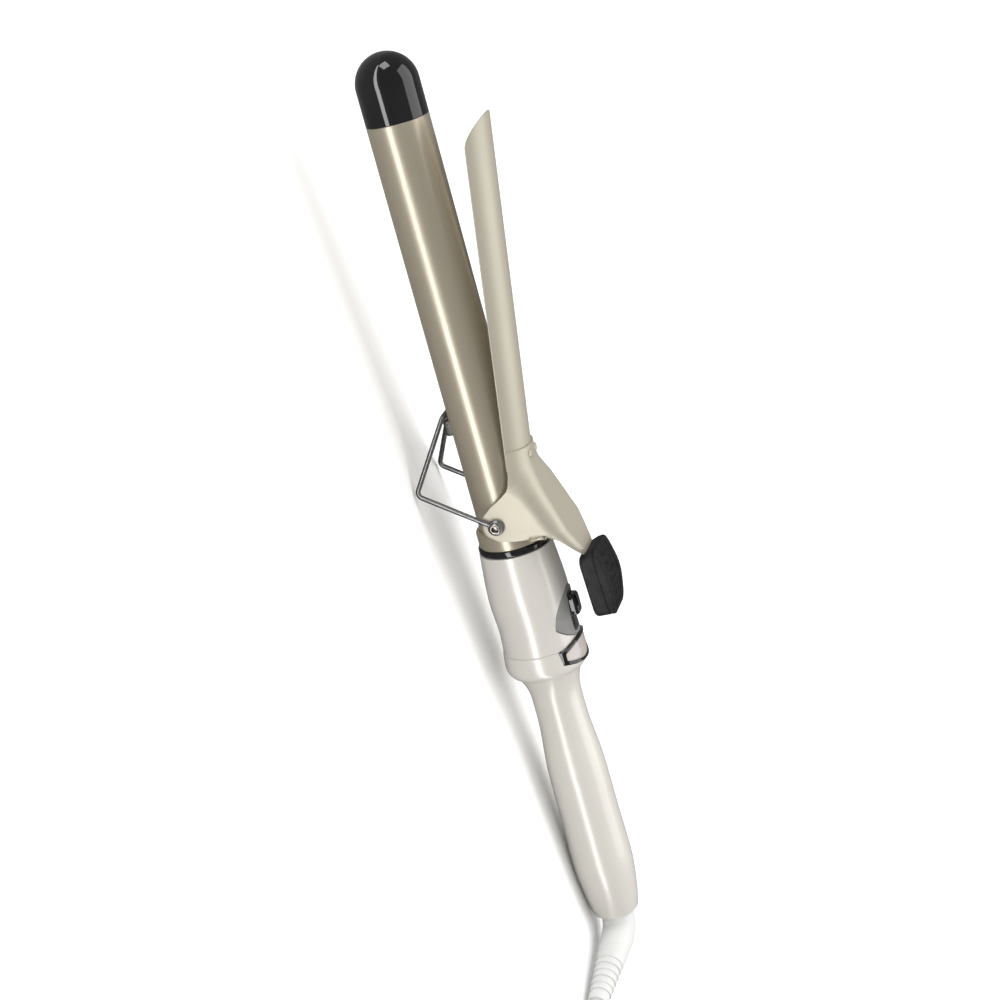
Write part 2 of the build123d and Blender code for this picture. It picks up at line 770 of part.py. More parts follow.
def coil_tie():
    """The band round the coil, on the side away from the plug."""
    wide = 1.5 * cord_diameter
    outer_height = coil_height + tie_thickness
    band = Pos(0, 0, outer_height / 2) * Box(2 * wide + 2 * tie_thickness, tie_width, outer_height)
    band -= Pos(0, 0, outer_height / 2) * Box(2 * wide, 2 * tie_width, coil_height - tie_thickness)
    return Pos(coil_centre[0] + coil_mean_radius, coil_centre[1], 0) * band


plug_axis_x = coil_centre[0] - plug_axis_radius
plug_axis_z = coil_height + plug_thickness / 2
plug_back_y = coil_centre[1] + plug_past_middle
plug_face_y = plug_back_y - plug_boot_length - plug_body_length


def plug_body():
    """The flat two-pin plug, with its own short boot, lying on the coil."""
    half_w, half_t = plug_width / 2, plug_thickness / 2
    outline = closed([(-half_w, -2.6), (-half_w + 6.2, -half_t), (half_w - 6.2, -half_t), (half_w, -2.6),
                      (half_w, 2.6), (half_w - 6.2, half_t), (-half_w + 6.2, half_t), (-half_w, 2.6)])
    face = Plane(origin=(plug_axis_x, plug_face_y, plug_axis_z), x_dir=(1, 0, 0), z_dir=(0, 1, 0))
    front = extrude(face * make_face(outline), 0.55 * plug_body_length)
    near = face.offset(0.55 * plug_body_length) * make_face(outline)
    far = face.offset(plug_body_length) * RectangleRounded(14.0, 12.0, 3.0)
    back = loft([near, far])
    boot_start = face.offset(plug_body_length) * Circle(5.2)
    boot_end = face.offset(plug_body_length + plug_boot_length) * Circle(cord_diameter / 2 + 0.9)
    return front + back + loft([boot_start, boot_end])


def plug_pins():
    pins = []
    for side in (-1, 1):
        x = plug_axis_x + side * pin_pitch / 2
        middle = Pos(x, plug_face_y - pin_length / 2, plug_axis_z)
        pin = middle * Rot(90, 0, 0) * Cylinder(pin_diameter / 2, pin_length)
        tip = pin.edges().filter_by(GeomType.CIRCLE).sort_by(Axis.Y)[0]
        pins.append(one(fillet(tip, 0.4 * pin_diameter)))
    return Compound(children=pins)


# ---------------- assembly ----------------
opened = Rot(0, -clamp_opening, 0)


def rest_tilt():
    """The tilt in degrees at which the foot and the handle's fullest part both touch the surface."""
    wire = wire_diameter / 2
    tilts = []
    for share, diameter in lower_outline:
        along = foot_reach - (lower_front - share * lower_length)
        below = diameter / 2 - foot_drop
        tilts.append(asin(wire / hypot(along, below)) - atan2(below, along))
    return degrees(min(tilts))


def main():
    boot_solid, boot_tip, boot_way = boot()
    on_axis = {
        "barrel_tube": barrel_tube(), "tip_cap": tip_cap(),
        "heater_holder_upper": heater_holder(1), "heater_holder_lower": heater_holder(-1),
        "heater_ceramic": heater_ceramic(), "heater_wires": heater_wires(), "thermal_fuse": thermal_fuse(),
        "barrel_ferrule": barrel_ferrule(), "seal_ring": seal_ring(),
        "upper_handle_left": half(upper_shell(), -1), "upper_handle_right": half(upper_shell(), 1),
        "collar_ring": collar_ring(),
        "lower_handle_left": lower_half(-1), "lower_handle_right": lower_half(1),
        "handle_screws": handle_screws(),
        "switch_plate": switch_plate(), "switch_slider": switch_slider(), "switch_body": switch_body(),
        "indicator_frame": indicator_frame(), "indicator_lens": indicator_lens(),
        "indicator_lamp": indicator_lamp(),
        "circuit_board": circuit_board(), "mains_wires": mains_wires(),
        "swivel_bush": swivel_bush(), "swivel_core": swivel_core(),
        "slip_rings": slip_rings(), "contact_brushes": contact_brushes(),
        "pivot_bushes": pivot_bushes(), "pivot_rivets": pivot_rivets(),
        "clamp_tongue": opened * clamp_tongue(), "clamp_bracket": opened * clamp_bracket(),
        "tongue_rivets": opened * tongue_rivets(),
        "thumb_rest_base": opened * thumb_rest_base(), "thumb_rest_grip": opened * thumb_rest_grip(),
        "thumb_rest_screw": opened * thumb_rest_screw(),
        "torsion_spring": torsion_spring(),
        "stand_wire": stand_wire(), "stand_catch": stand_catch(),
        "strain_relief": boot_solid,
    }
    tilt = rest_tilt()
    tilted = {name: Rot(0, -tilt, 0) * shape for name, shape in on_axis.items()}
    still = [one(shape) for name, shape in tilted.items() if name != "strain_relief"]
    span = Compound(children=[Compound(children=[shape]) for shape in still]).bounding_box()
    set_down = Pos(-(span.min.X + span.max.X) / 2, 0, -span.min.Z)
    laid = {name: set_down * shape for name, shape in tilted.items()}
    print("rest tilt, degrees:", round(tilt, 3))
    print("pivot in the laid frame:", (set_down * Pos(0, 0, 0)).position)
    print("boot tip:", (set_down * Rot(0, -tilt, 0) * boot_tip).position,
          "way:", (Rot(0, -tilt, 0) * boot_way).position)
    laid.update({"cord_lead": cord_lead(), "cord_coil": cord_coil(), "coil_tie": coil_tie(),
                 "plug_body": plug_body(), "plug_pins": plug_pins()})
    os.makedirs("parts", exist_ok=True)
    for name, shape in laid.items():
        piece = one(shape)
        print(name, "solids", len(shape.solids()), "volume", round(shape.volume, 1))
        export_step(piece, os.path.join("parts", name + ".step"))


main()
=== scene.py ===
# %% [markdown]
# # A curling iron lying on its wire stand
# The iron has a hot barrel under a champagne coating, a black heat-proof cap, a sprung clamp with a rubber thumb
# rest, a pearl white handle in two shells, a slide switch, an indicator window and a cord that turns in the handle's
# end. The CAD model fixes every size and every joint. This file gives each visible piece a finer surface, and each
# finish its grain, tone and gloss. It starts by loading that model as a frame that nothing here moves.

# %% Load the frame
import json
import math

import bmesh
import bpy
import numpy as np
from mathutils import Matrix


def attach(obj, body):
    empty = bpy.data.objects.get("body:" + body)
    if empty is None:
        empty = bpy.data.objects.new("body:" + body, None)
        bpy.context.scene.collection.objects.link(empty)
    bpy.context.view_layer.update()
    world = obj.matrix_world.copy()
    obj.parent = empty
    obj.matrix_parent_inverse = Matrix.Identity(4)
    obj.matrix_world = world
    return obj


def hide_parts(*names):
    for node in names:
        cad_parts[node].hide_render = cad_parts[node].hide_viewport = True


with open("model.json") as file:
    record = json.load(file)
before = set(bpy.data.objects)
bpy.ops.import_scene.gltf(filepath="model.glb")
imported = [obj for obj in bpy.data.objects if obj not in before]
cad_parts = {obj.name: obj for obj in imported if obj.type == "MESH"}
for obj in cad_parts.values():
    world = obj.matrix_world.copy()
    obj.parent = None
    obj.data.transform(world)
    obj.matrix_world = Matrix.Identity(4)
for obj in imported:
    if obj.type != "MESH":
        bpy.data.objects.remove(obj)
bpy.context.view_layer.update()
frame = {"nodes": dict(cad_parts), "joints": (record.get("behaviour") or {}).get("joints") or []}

# %% [markdown]
# ## The iron's own axes
# The iron lies a little nose-up, so it is easier to shape on its own axes: x along the barrel to the tip, z to the
# clamp side, zero at the clamp's pivot, in millimetres. The pivot's place and the barrel's direction are read from
# the joints, so a shape can't drift from the CAD. One function lays such points down in the frame, in metres.

# %% From the iron's axes to the frame
MM = 0.001
joints = {joint["name"]: joint for joint in frame["joints"]}
pivot = np.array(joints["clamp_hinge"]["pos_m"])
along = np.array(joints["cord_swivel"]["axis"])
across = np.array([0.0, 1.0, 0.0])
upward = np.cross(along, across)
CLAMP_OPENING = math.radians(7.9)


def laid(points, opened=False):
    """Millimetres on the iron's axes to metres in the frame: pivot + x along + y across + z upward.
    With opened, the points are first turned about the pivot by the angle that the clamp stands open."""
    p = np.asarray(points, float) * MM
    x, y, z = p[..., 0:1], p[..., 1:2], p[..., 2:3]
    if opened:
        c, s = math.cos(CLAMP_OPENING), math.sin(CLAMP_OPENING)
        x, z = x * c - z * s, x * s + z * c
    return pivot + x * along + y * across + z * upward


def unit(v):
    """Each vector divided by its own length."""
    return v / np.maximum(np.linalg.norm(v, axis=-1, keepdims=True), 1e-12)


print("pivot:", pivot.round(5), "barrel direction:", along.round(5))

# %% [markdown]
# ## The camera
# A long lens from the side, a little above and ahead of the pivot, keeps the barrel's sides almost parallel. The
# camera is rolled so that the iron stands nearly upright in the picture, leaning a little to the left. Its axes are
# worked out as three vectors, because a roll about the line of sight is then only a turn of two of them.

# %% Camera
CAMERA_PLACE = np.array([0.25769, 0.7518, 0.32658])
CAMERA_AIM = np.array([0.00572, 0.0, 0.02751])
CAMERA_ROLL = math.radians(-15.55)
CAMERA_LENS = 75.1


def camera_axes(place, aim, top, roll):
    """Right, up and back: ahead is aim - place, right is ahead x top, up is right x ahead, and the roll turns the
    first two about the third."""
    ahead = unit(aim - place)
    right = unit(np.cross(ahead, top))
    up = np.cross(right, ahead)
    c, s = math.cos(roll), math.sin(roll)
    return c * right + s * up, c * up - s * right, -ahead


camera_data = bpy.data.cameras.new("camera")
camera_data.lens = CAMERA_LENS
camera_data.sensor_width = 36.0
camera_data.clip_start = 0.01
camera = bpy.data.objects.new("camera", camera_data)
bpy.context.scene.collection.objects.link(camera)
axes = camera_axes(CAMERA_PLACE, CAMERA_AIM, along, CAMERA_ROLL)
camera.matrix_world = Matrix(
    [[*(float(axis[row]) for axis in axes), float(CAMERA_PLACE[row])] for row in range(3)] + [[0, 0, 0, 1]])
bpy.context.scene.camera = camera
print("camera at", CAMERA_PLACE, "m")

# %% [markdown]
# ## Shared effects for the finishes
# No real surface is one flat colour. Two effects come back in every finish here, so each is a node group, built once
# and placed with its own values. `mottle` drifts slowly between two tones, as a sprayed or moulded skin does, and
# also gives the mask it mixed by. `grain` is a height made of a fine and a coarser noise, for a bump.

# %% Node groups


def group_of(name, inputs, outputs):
    """An empty shader node group with these sockets, with its input and output nodes."""
    tree = bpy.data.node_groups.new(name, "ShaderNodeTree")
    for title, kind in inputs:
        tree.interface.new_socket(title, in_out="INPUT", socket_type=kind)
    for title, kind in outputs:
        tree.interface.new_socket(title, in_out="OUTPUT", socket_type=kind)
    return tree, tree.nodes.new("NodeGroupInput"), tree.nodes.new("NodeGroupOutput")


def noise_node(tree, source, size, detail):
    """A noise texture whose Vector and Scale come from the group's inputs."""
    noise = tree.nodes.new("ShaderNodeTexNoise")
    noise.inputs["Detail"].default_value = detail
    tree.links.new(source.outputs["Vector"], noise.inputs["Vector"])
    tree.links.new(source.outputs[size], noise.inputs["Scale"])
    return noise


mottle, enter, leave = group_of(
    "mottle", [("Vector", "NodeSocketVector"), ("Size", "NodeSocketFloat"), ("Light", "NodeSocketColor"),
               ("Dark", "NodeSocketColor")],
    [("Colour", "NodeSocketColor"), ("Mask", "NodeSocketFloat")])
drift = noise_node(mottle, enter, "Size", 4.0)
spread = mottle.nodes.new("ShaderNodeMapRange")
spread.interpolation_type = "SMOOTHSTEP"
spread.inputs["From Min"].default_value = 0.2
spread.inputs["From Max"].default_value = 0.8
tones = mottle.nodes.new("ShaderNodeMix")
tones.data_type = "RGBA"
mottle.links.new(drift.outputs["Fac"], spread.inputs["Value"])
mottle.links.new(spread.outputs["Result"], tones.inputs["Factor"])
mottle.links.new(enter.outputs["Light"], tones.inputs[6])
mottle.links.new(enter.outputs["Dark"], tones.inputs[7])
mottle.links.new(tones.outputs[2], leave.inputs["Colour"])
mottle.links.new(spread.outputs["Result"], leave.inputs["Mask"])

grain, enter, leave = group_of(
    "grain", [("Vector", "NodeSocketVector"), ("Fine", "NodeSocketFloat"), ("Coarse", "NodeSocketFloat"),
              ("Coarse Share", "NodeSocketFloat")],
    [("Height", "NodeSocketFloat")])
fine = noise_node(grain, enter, "Fine", 2.0)
coarse = noise_node(grain, enter, "Coarse", 2.0)
blend = grain.nodes.new("ShaderNodeMix")
grain.links.new(enter.outputs["Coarse Share"], blend.inputs["Factor"])
grain.links.new(fine.outputs["Fac"], blend.inputs[2])
grain.links.new(coarse.outputs["Fac"], blend.inputs[3])
grain.links.new(blend.outputs[0], leave.inputs["Height"])

speckle, enter, leave = group_of(
    "speckle", [("Vector", "NodeSocketVector"), ("Size", "NodeSocketFloat"), ("Colour", "NodeSocketColor"),
                ("Fleck", "NodeSocketColor"), ("Amount", "NodeSocketFloat")],
    [("Colour", "NodeSocketColor"), ("Mask", "NodeSocketFloat")])
cells = speckle.nodes.new("ShaderNodeTexVoronoi")
speckle.links.new(enter.outputs["Vector"], cells.inputs["Vector"])
speckle.links.new(enter.outputs["Size"], cells.inputs["Scale"])
chosen = speckle.nodes.new("ShaderNodeMath")
chosen.operation = "MULTIPLY"
flecks = speckle.nodes.new("ShaderNodeMix")
flecks.data_type = "RGBA"
speckle.links.new(cells.outputs["Color"], chosen.inputs[0])
speckle.links.new(enter.outputs["Amount"], chosen.inputs[1])
speckle.links.new(chosen.outputs[0], flecks.inputs["Factor"])
speckle.links.new(enter.outputs["Colour"], flecks.inputs[6])
speckle.links.new(enter.outputs["Fleck"], flecks.inputs[7])
speckle.links.new(flecks.outputs[2], leave.inputs["Colour"])
speckle.links.new(chosen.outputs[0], leave.inputs["Mask"])
print("groups:", [tree.name for tree in bpy.data.node_groups])

# %% [markdown]
# ## One recipe for a finish
# Every finish has the same build: the piece's own coordinates, stretched where the making left lines, go to
# `mottle` for the colour, its mask sets how the gloss varies, and `grain` bumps the normal. The flecked coatings put
# `speckle` after `mottle`. What is the same all over, such as the metal share or a clear coat, is set on the shader.

# %% The finish recipe


def finish(name, light, dark, tone_size=60.0, metal=0.0, rough=(0.35, 0.45), fine=2600.0, coarse=300.0,
           coarse_share=0.3, bump=0.1, depth=0.00002, stretch=(1.0, 1.0, 1.0), fleck=None, fleck_size=5200.0,
           fleck_amount=0.25, **shader_values):
    """A material: mottle (and flecks) into Base Color, its mask into Roughness, grain into a Bump."""
    material = bpy.data.materials.new(name)
    material.use_nodes = True
    nodes, links = material.node_tree.nodes, material.node_tree.links
    shader = nodes["Principled BSDF"]
    where = nodes.new("ShaderNodeTexCoord")
    mapping = nodes.new("ShaderNodeMapping")
    mapping.inputs["Scale"].default_value = stretch
    links.new(where.outputs["Object"], mapping.inputs["Vector"])

    def place(tree, **values):
        node = nodes.new("ShaderNodeGroup")
        node.node_tree = tree
        links.new(mapping.outputs["Vector"], node.inputs["Vector"])
        for title, value in values.items():
            node.inputs[title.replace("_", " ")].default_value = value
        return node

    tone = place(mottle, Size=tone_size, Light=(*light, 1), Dark=(*dark, 1))
    colour = tone.outputs["Colour"]
    if fleck is not None:
        sprinkled = place(speckle, Size=fleck_size, Fleck=(*fleck, 1), Amount=fleck_amount)
        links.new(colour, sprinkled.inputs["Colour"])
        colour = sprinkled.outputs["Colour"]
    links.new(colour, shader.inputs["Base Color"])
    gloss = nodes.new("ShaderNodeMapRange")
    gloss.inputs["To Min"].default_value, gloss.inputs["To Max"].default_value = rough
    links.new(tone.outputs["Mask"], gloss.inputs["Value"])
    links.new(gloss.outputs["Result"], shader.inputs["Roughness"])
    texture = place(grain, Fine=fine, Coarse=coarse, Coarse_Share=coarse_share)
    relief = nodes.new("ShaderNodeBump")
    relief.inputs["Strength"].default_value = bump
    relief.inputs["Distance"].default_value = depth
    links.new(texture.outputs["Height"], relief.inputs["Height"])
    links.new(relief.outputs["Normal"], shader.inputs["Normal"])
    shader.inputs["Metallic"].default_value = metal
    for title, value in shader_values.items():
        shader.inputs[title.replace("_", " ")].default_value = value
    return material


# %% [markdown]
# ## The finishes
# The barrel and clamp wear a sprayed champagne coating: a warm satin metal with tiny flecks. The handle is pearl
# white plastic with a clear gloss, which drifts a little between a pink and a green white. The cap and the switch
# are gloss black, the thumb rest is rubber with a dull grain, and the stand is drawn steel wire.

# %% Finishes
finishes = {
    "barrel_coating": finish(
        "barrel_coating", (0.50, 0.445, 0.34), (0.48, 0.435, 0.335), tone_size=18, metal=0.6, rough=(0.27, 0.33),
        bump=0.12, depth=0.00001, fleck=(0.56, 0.50, 0.39), fleck_amount=0.35, Coat_Weight=0.4, Coat_Roughness=0.2),
    "clamp_coating": finish(
        "clamp_coating", (0.50, 0.465, 0.375), (0.48, 0.45, 0.365), tone_size=22, metal=0.5, rough=(0.44, 0.5),
        bump=0.12, depth=0.00001, fleck=(0.60, 0.56, 0.47), fleck_amount=0.35, Coat_Weight=0.15, Coat_Roughness=0.35),
    "gloss_black": finish(
        "gloss_black", (0.006, 0.006, 0.007), (0.010, 0.010, 0.011), rough=(0.05, 0.09), bump=0.03, depth=0.00001,
        Specular_IOR_Level=0.3, Coat_Weight=1.0, Coat_Roughness=0.03),
    "pearl_plastic": finish(
        "pearl_plastic", (0.60, 0.575, 0.535), (0.585, 0.57, 0.515), tone_size=24, metal=0.1, rough=(0.27, 0.31),
        bump=0.05, depth=0.00002, fleck=(0.68, 0.65, 0.62), fleck_amount=0.3, Coat_Weight=0.6, Coat_Roughness=0.12),
    "grey_plastic": finish(
        "grey_plastic", (0.235, 0.232, 0.222), (0.205, 0.203, 0.196), tone_size=300, rough=(0.5, 0.62), fine=4200,
        bump=0.35, depth=0.00004),
    "black_rubber": finish(
        "black_rubber", (0.012, 0.012, 0.0125), (0.006, 0.006, 0.0065), tone_size=260, rough=(0.5, 0.68), fine=3400,
        coarse=700, bump=0.4, depth=0.00006, Specular_IOR_Level=0.35),
    "window_lens": finish(
        "window_lens", (0.64, 0.58, 0.55), (0.58, 0.52, 0.49), tone_size=160, rough=(0.08, 0.14), bump=0.02,
        Coat_Weight=0.8, Coat_Roughness=0.05, Transmission_Weight=0.25),
    "lamp": finish("lamp", (0.6, 0.06, 0.03), (0.5, 0.04, 0.02), rough=(0.1, 0.2), Transmission_Weight=0.3),
    "stand_steel": finish(
        "stand_steel", (0.30, 0.30, 0.30), (0.22, 0.22, 0.225), tone_size=500, metal=1.0, rough=(0.24, 0.4),
        stretch=(0.2, 1, 1), bump=0.2),
    "rivet_steel": finish(
        "rivet_steel", (0.36, 0.34, 0.31), (0.26, 0.25, 0.23), tone_size=700, metal=1.0, rough=(0.2, 0.34), bump=0.1),
    "screw_steel": finish(
        "screw_steel", (0.5, 0.5, 0.5), (0.4, 0.4, 0.41), tone_size=600, metal=1.0, rough=(0.3, 0.45), bump=0.15),
    "heater_aluminium": finish(
        "heater_aluminium", (0.72, 0.72, 0.73), (0.6, 0.6, 0.62), tone_size=200, metal=1.0, rough=(0.3, 0.5),
        stretch=(0.05, 1, 1), bump=0.25),
    "heater_ceramic": finish(
        "heater_ceramic", (0.8, 0.78, 0.72), (0.72, 0.7, 0.63), tone_size=250, rough=(0.6, 0.75), bump=0.3),
    "board_green": finish(
        "board_green", (0.04, 0.22, 0.09), (0.03, 0.15, 0.06), tone_size=400, rough=(0.3, 0.45), bump=0.2),
    "wire_sleeve": finish(
        "wire_sleeve", (0.7, 0.68, 0.62), (0.55, 0.53, 0.48), tone_size=1500, rough=(0.7, 0.85), bump=0.5),
    "contact_brass": finish(
        "contact_brass", (0.75, 0.58, 0.28), (0.6, 0.45, 0.2), tone_size=500, metal=1.0, rough=(0.25, 0.45),
        bump=0.1),
    "cord_grey": finish(
        "cord_grey", (0.66, 0.66, 0.65), (0.61, 0.61, 0.60), tone_size=120, rough=(0.42, 0.52), fine=3000,
        bump=0.2, depth=0.00003),
    "plug_grey": finish(
        "plug_grey", (0.64, 0.64, 0.63), (0.6, 0.6, 0.585), tone_size=90, rough=(0.45, 0.56), fine=3200, bump=0.3,
        depth=0.00003),
}
slot_of = {}
for node, thing in frame["nodes"].items():
    names = [held.material.name for held in thing.material_slots if held.material]
    slot_of[node] = next((slot for slot in finishes for held in names if held.split(".")[0] == slot), None)
    if slot_of[node] and thing.material_slots:
        for held in thing.material_slots:
            held.material = finishes[slot_of[node]]
print("finishes:", len(finishes), "CAD nodes with none:", [node for node, slot in slot_of.items() if not slot])

# %% [markdown]
# ## Making a piece from a grid
# A shape is an array of points on a grid of two parameters, so its faces are the grid's cells. Where a parameter
# comes back to its start the grid wraps round. Rows that shrink to one point make a pole, and merging the doubles
# closes it. The normals are then turned outwards, which is safe because each shape is one closed skin.

# %% Grids and pieces


def grid_cells(rows, columns, wrap_rows=False, wrap_columns=False):
    """The four corner numbers of every cell of a grid, as one array."""
    i = np.arange(rows if wrap_rows else rows - 1)[:, None]
    j = np.arange(columns if wrap_columns else columns - 1)[None, :]
    i2, j2 = (i + 1) % rows, (j + 1) % columns
    corners = (i * columns + j, i2 * columns + j, i2 * columns + j2, i * columns + j2)
    return np.stack(np.broadcast_arrays(*corners), -1).reshape(-1, 4)


def grid_piece(name, points, body, stands_for=(), slot=None, wrap_rows=False, wrap_columns=True, caps=(),
               opened=False, in_frame=False, sharp=40.0, weighted=True):
    """A mesh from a grid of points. caps lists rows or columns of vertices that a flat face closes."""
    rows, columns = points.shape[:2]
    flat = points.reshape(-1, 3)
    placed = flat if in_frame else laid(flat, opened)
    cells = grid_cells(rows, columns, wrap_rows, wrap_columns).tolist()
    mesh = bpy.data.meshes.new(name)
    mesh.from_pydata(placed.tolist(), [], cells + [list(cap) for cap in caps])
    tidy = bmesh.new()
    tidy.from_mesh(mesh)
    bmesh.ops.remove_doubles(tidy, verts=tidy.verts, dist=2e-6)
    bmesh.ops.dissolve_degenerate(tidy, edges=tidy.edges, dist=1e-7)
    bmesh.ops.recalc_face_normals(tidy, faces=tidy.faces)
    tidy.to_mesh(mesh)
    tidy.free()
    return mesh_piece(name, mesh, body, stands_for, slot, sharp, weighted)


def mesh_piece(name, mesh, body, stands_for, slot, sharp=40.0, weighted=True):
    """A finished object: smooth but for edges sharper than an angle, on its body, with its finish."""
    mesh.shade_smooth()
    mesh.set_sharp_from_angle(angle=math.radians(sharp))
    thing = bpy.data.objects.new(name, mesh)
    bpy.context.scene.collection.objects.link(thing)
    if weighted:
        even = thing.modifiers.new("even_normals", "WEIGHTED_NORMAL")
        even.keep_sharp = True
    if slot:
        mesh.materials.append(finishes[slot])
    if body:
        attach(thing, body)
    if stands_for:
        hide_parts(*stands_for)
    return thing


def smooth_through(points, samples):
    """A natural cubic spline through the points: its second derivatives solve one linear system over the chord
    lengths, so the curve bends as little as it can between them."""
    p = np.asarray(points, float)
    t = np.concatenate([[0], np.cumsum(np.linalg.norm(np.diff(p, axis=0), axis=1))])
    h = np.diff(t)
    n = len(t)
    system = np.eye(n)
    inner = np.arange(1, n - 1)
    system[inner, inner - 1], system[inner, inner], system[inner, inner + 1] = h[:-1], 2 * (h[:-1] + h[1:]), h[1:]
    right = np.zeros_like(p)
    slopes = np.diff(p, axis=0) / h[:, None]
    right[1:-1] = 6 * np.diff(slopes, axis=0)
    bends = np.linalg.solve(system, right)
    at = np.linspace(0, t[-1], samples)
    k = np.clip(np.searchsorted(t, at, side="right") - 1, 0, n - 2)
    a, b, w = (t[k + 1] - at)[:, None], (at - t[k])[:, None], h[k][:, None]
    curve = (bends[k] * a ** 3 + bends[k + 1] * b ** 3) / (6 * w)
    return curve + (p[k] / w - bends[k] * w / 6) * a + (p[k + 1] / w - bends[k + 1] * w / 6) * b


def rounded(corners, radii, steps=6, closed=True):
    """Each corner becomes an arc tangent to its two runs: it starts and ends r / tan(half the angle) from the
    corner, and its points are the centre plus r times the unit of a blend of the two end directions."""
    p = np.asarray(corners, float)
    r = np.broadcast_to(np.asarray(radii, float), len(p)).copy()
    if not closed:
        r[[0, -1]] = 0
    a, b = unit(np.roll(p, 1, 0) - p), unit(np.roll(p, -1, 0) - p)
    half = np.arccos(np.clip((a * b).sum(1), -1, 1)) / 2
    reach = (r / np.tan(np.maximum(half, 1e-6)))[:, None]
    centre = p + unit(a + b) * (r / np.sin(np.maximum(half, 1e-6)))[:, None]
    k = np.linspace(0, 1, steps)[None, :, None]
    start, end = (p + a * reach - centre)[:, None], (p + b * reach - centre)[:, None]
    arcs = centre[:, None] + unit(start * (1 - k) + end * k) * r[:, None, None]
    arcs = np.where(r[:, None, None] > 0, arcs, p[:, None])
    flat = arcs.reshape(-1, p.shape[1])
    step = np.linalg.norm(np.diff(flat, axis=0, prepend=flat[-1:] + 1), axis=1)
    return flat[step > 1e-6]


def evenly(path, count, closed=False):
    """The same number of points all along a path, equally far apart."""
    p = np.vstack([path, path[:1]]) if closed else path
    t = np.concatenate([[0], np.cumsum(np.linalg.norm(np.diff(p, axis=0), axis=1))])
    at = np.linspace(0, t[-1], count + 1)[:-1] if closed else np.linspace(0, t[-1], count)
    return np.stack([np.interp(at, t, p[:, c]) for c in range(p.shape[1])], -1)


def revolved(profile, angles):
    """A profile of (x, radius) carried round the x axis: (x, radius cos a, radius sin a)."""
    x, r = profile[:, 0][:, None], profile[:, 1][:, None]
    a = angles[None, :]
    return np.stack(np.broadcast_arrays(x, r * np.cos(a), r * np.sin(a)), -1)


def full_turn(count):
    return np.linspace(0, 2 * np.pi, count, endpoint=False)


def arc_points(centre, radius, start, end, count):
    """Points (x, r) on an arc, angles in degrees from the x axis."""
    a = np.radians(np.linspace(start, end, count))
    return np.stack([centre + radius * np.cos(a), radius * np.sin(a)], -1)


# %% [markdown]
# ## The cord and its coil
# A mains lead is a fixed length of something springy. It leaves the boot, comes down to the surface, and what isn't
# needed is wound in a neat coil of three layers, each turn a diameter from the next, under one tie. The plug lies on
# the coil. The whole cord is one smooth NURBS spline: the first points are the CAD's own route, and the coil's
# points come from three curves over the count of turns, for the angle, the radius and the height.

# %% Cord
CORD = 6.2
route = [(-207.6, 43.55, 5.5), (-211.4, 61.8, 3.5), (-220.5, 76.4, 3.1), (-234.5, 85.8, 3.1), (-251.0, 88.4, 3.1),
         (-267.0, 87.0, 3.1)]
COIL_CENTRE = (-267.0, 47.0)
POINTS_A_TURN = 16
LAYERS = 3
coil_top = LAYERS * CORD
plug_level = coil_top + 6.85
turns = np.arange(1, int(7.25 * POINTS_A_TURN) + 1) / POINTS_A_TURN
radius = np.interp(turns, [0, 2, 2.25, 2.5, 4.5, 4.75, 5, 6.55, 7.25],
                   [40.2, 27.8, 26.9, 27.8, 40.2, 41.2, 40.2, 30.6, 26.0])
height = np.interp(turns, [0, 2, 2.5, 4.5, 5, 6.55, 6.85, 7.2, 7.25],
                   [*(CORD * np.array([0.5, 0.5, 1.5, 1.5, 2.5, 2.5, 3.4])), plug_level, plug_level])
turning = math.pi / 2 + 2 * np.pi * turns
corner_gain = 1 / np.cos(np.pi / POINTS_A_TURN) ** 0.5
coil = np.stack([COIL_CENTRE[0] + corner_gain * radius * np.cos(turning),
                 COIL_CENTRE[1] + corner_gain * radius * np.sin(turning), height], -1)
into_plug = [(-293.0, 43.0, plug_level), (-293.0, 37.0, plug_level)]
cord_points = np.vstack([route, coil, into_plug]) * MM


def spline_curve(name, points, thick):
    """A curve object of one open NURBS spline of order 3 with the points as its control points."""
    data = bpy.data.curves.new(name, "CURVE")
    data.dimensions = "3D"
    data.resolution_u = 10
    data.bevel_depth = thick / 2
    data.bevel_resolution = 5
    data.use_fill_caps = True
    spline = data.splines.new("NURBS")
    spline.points.add(len(points) - 1)
    spline.points.foreach_set("co", np.column_stack([points, np.ones(len(points))]).ravel())
    spline.order_u = 3
    spline.use_endpoint_u = True
    thing = bpy.data.objects.new(name, data)
    bpy.context.scene.collection.objects.link(thing)
    return thing


cord = spline_curve("cord", cord_points, CORD * MM)
cord.data.materials.append(finishes["cord_grey"])
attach(cord, "swivel")
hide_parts("cord_lead", "cord_coil")
print("cord control points:", len(cord_points))

# %% [markdown]
# ## The tie
# A soft strap holds the turns together on the side away from the plug. It is a flat band carried round a rounded
# rectangle, a closed loop in both directions.

# %% Tie
TIE_WIDTH, TIE_THICK = 9.0, 1.1
COIL_MEAN = 34.0
COIL_HALF = 1.5 * CORD


def band(loop, width, thick, soft):
    """A strap: the loop (u, v) is moved in and out by the thickness along its own normal, and across by the width,
    with soft edges from a superellipse section."""
    step = np.roll(loop, -1, 0) - np.roll(loop, 1, 0)
    normal = unit(np.stack([step[:, 1], -step[:, 0]], -1))
    a = full_turn(24)
    across_band = width / 2 * np.sign(np.cos(a)) * np.abs(np.cos(a)) ** soft
    out = thick / 2 * (np.sign(np.sin(a)) * np.abs(np.sin(a)) ** soft)
    u = loop[:, None, 0] + normal[:, None, 0] * out
    v = loop[:, None, 1] + normal[:, None, 1] * out
    return u, np.broadcast_to(across_band, u.shape), v


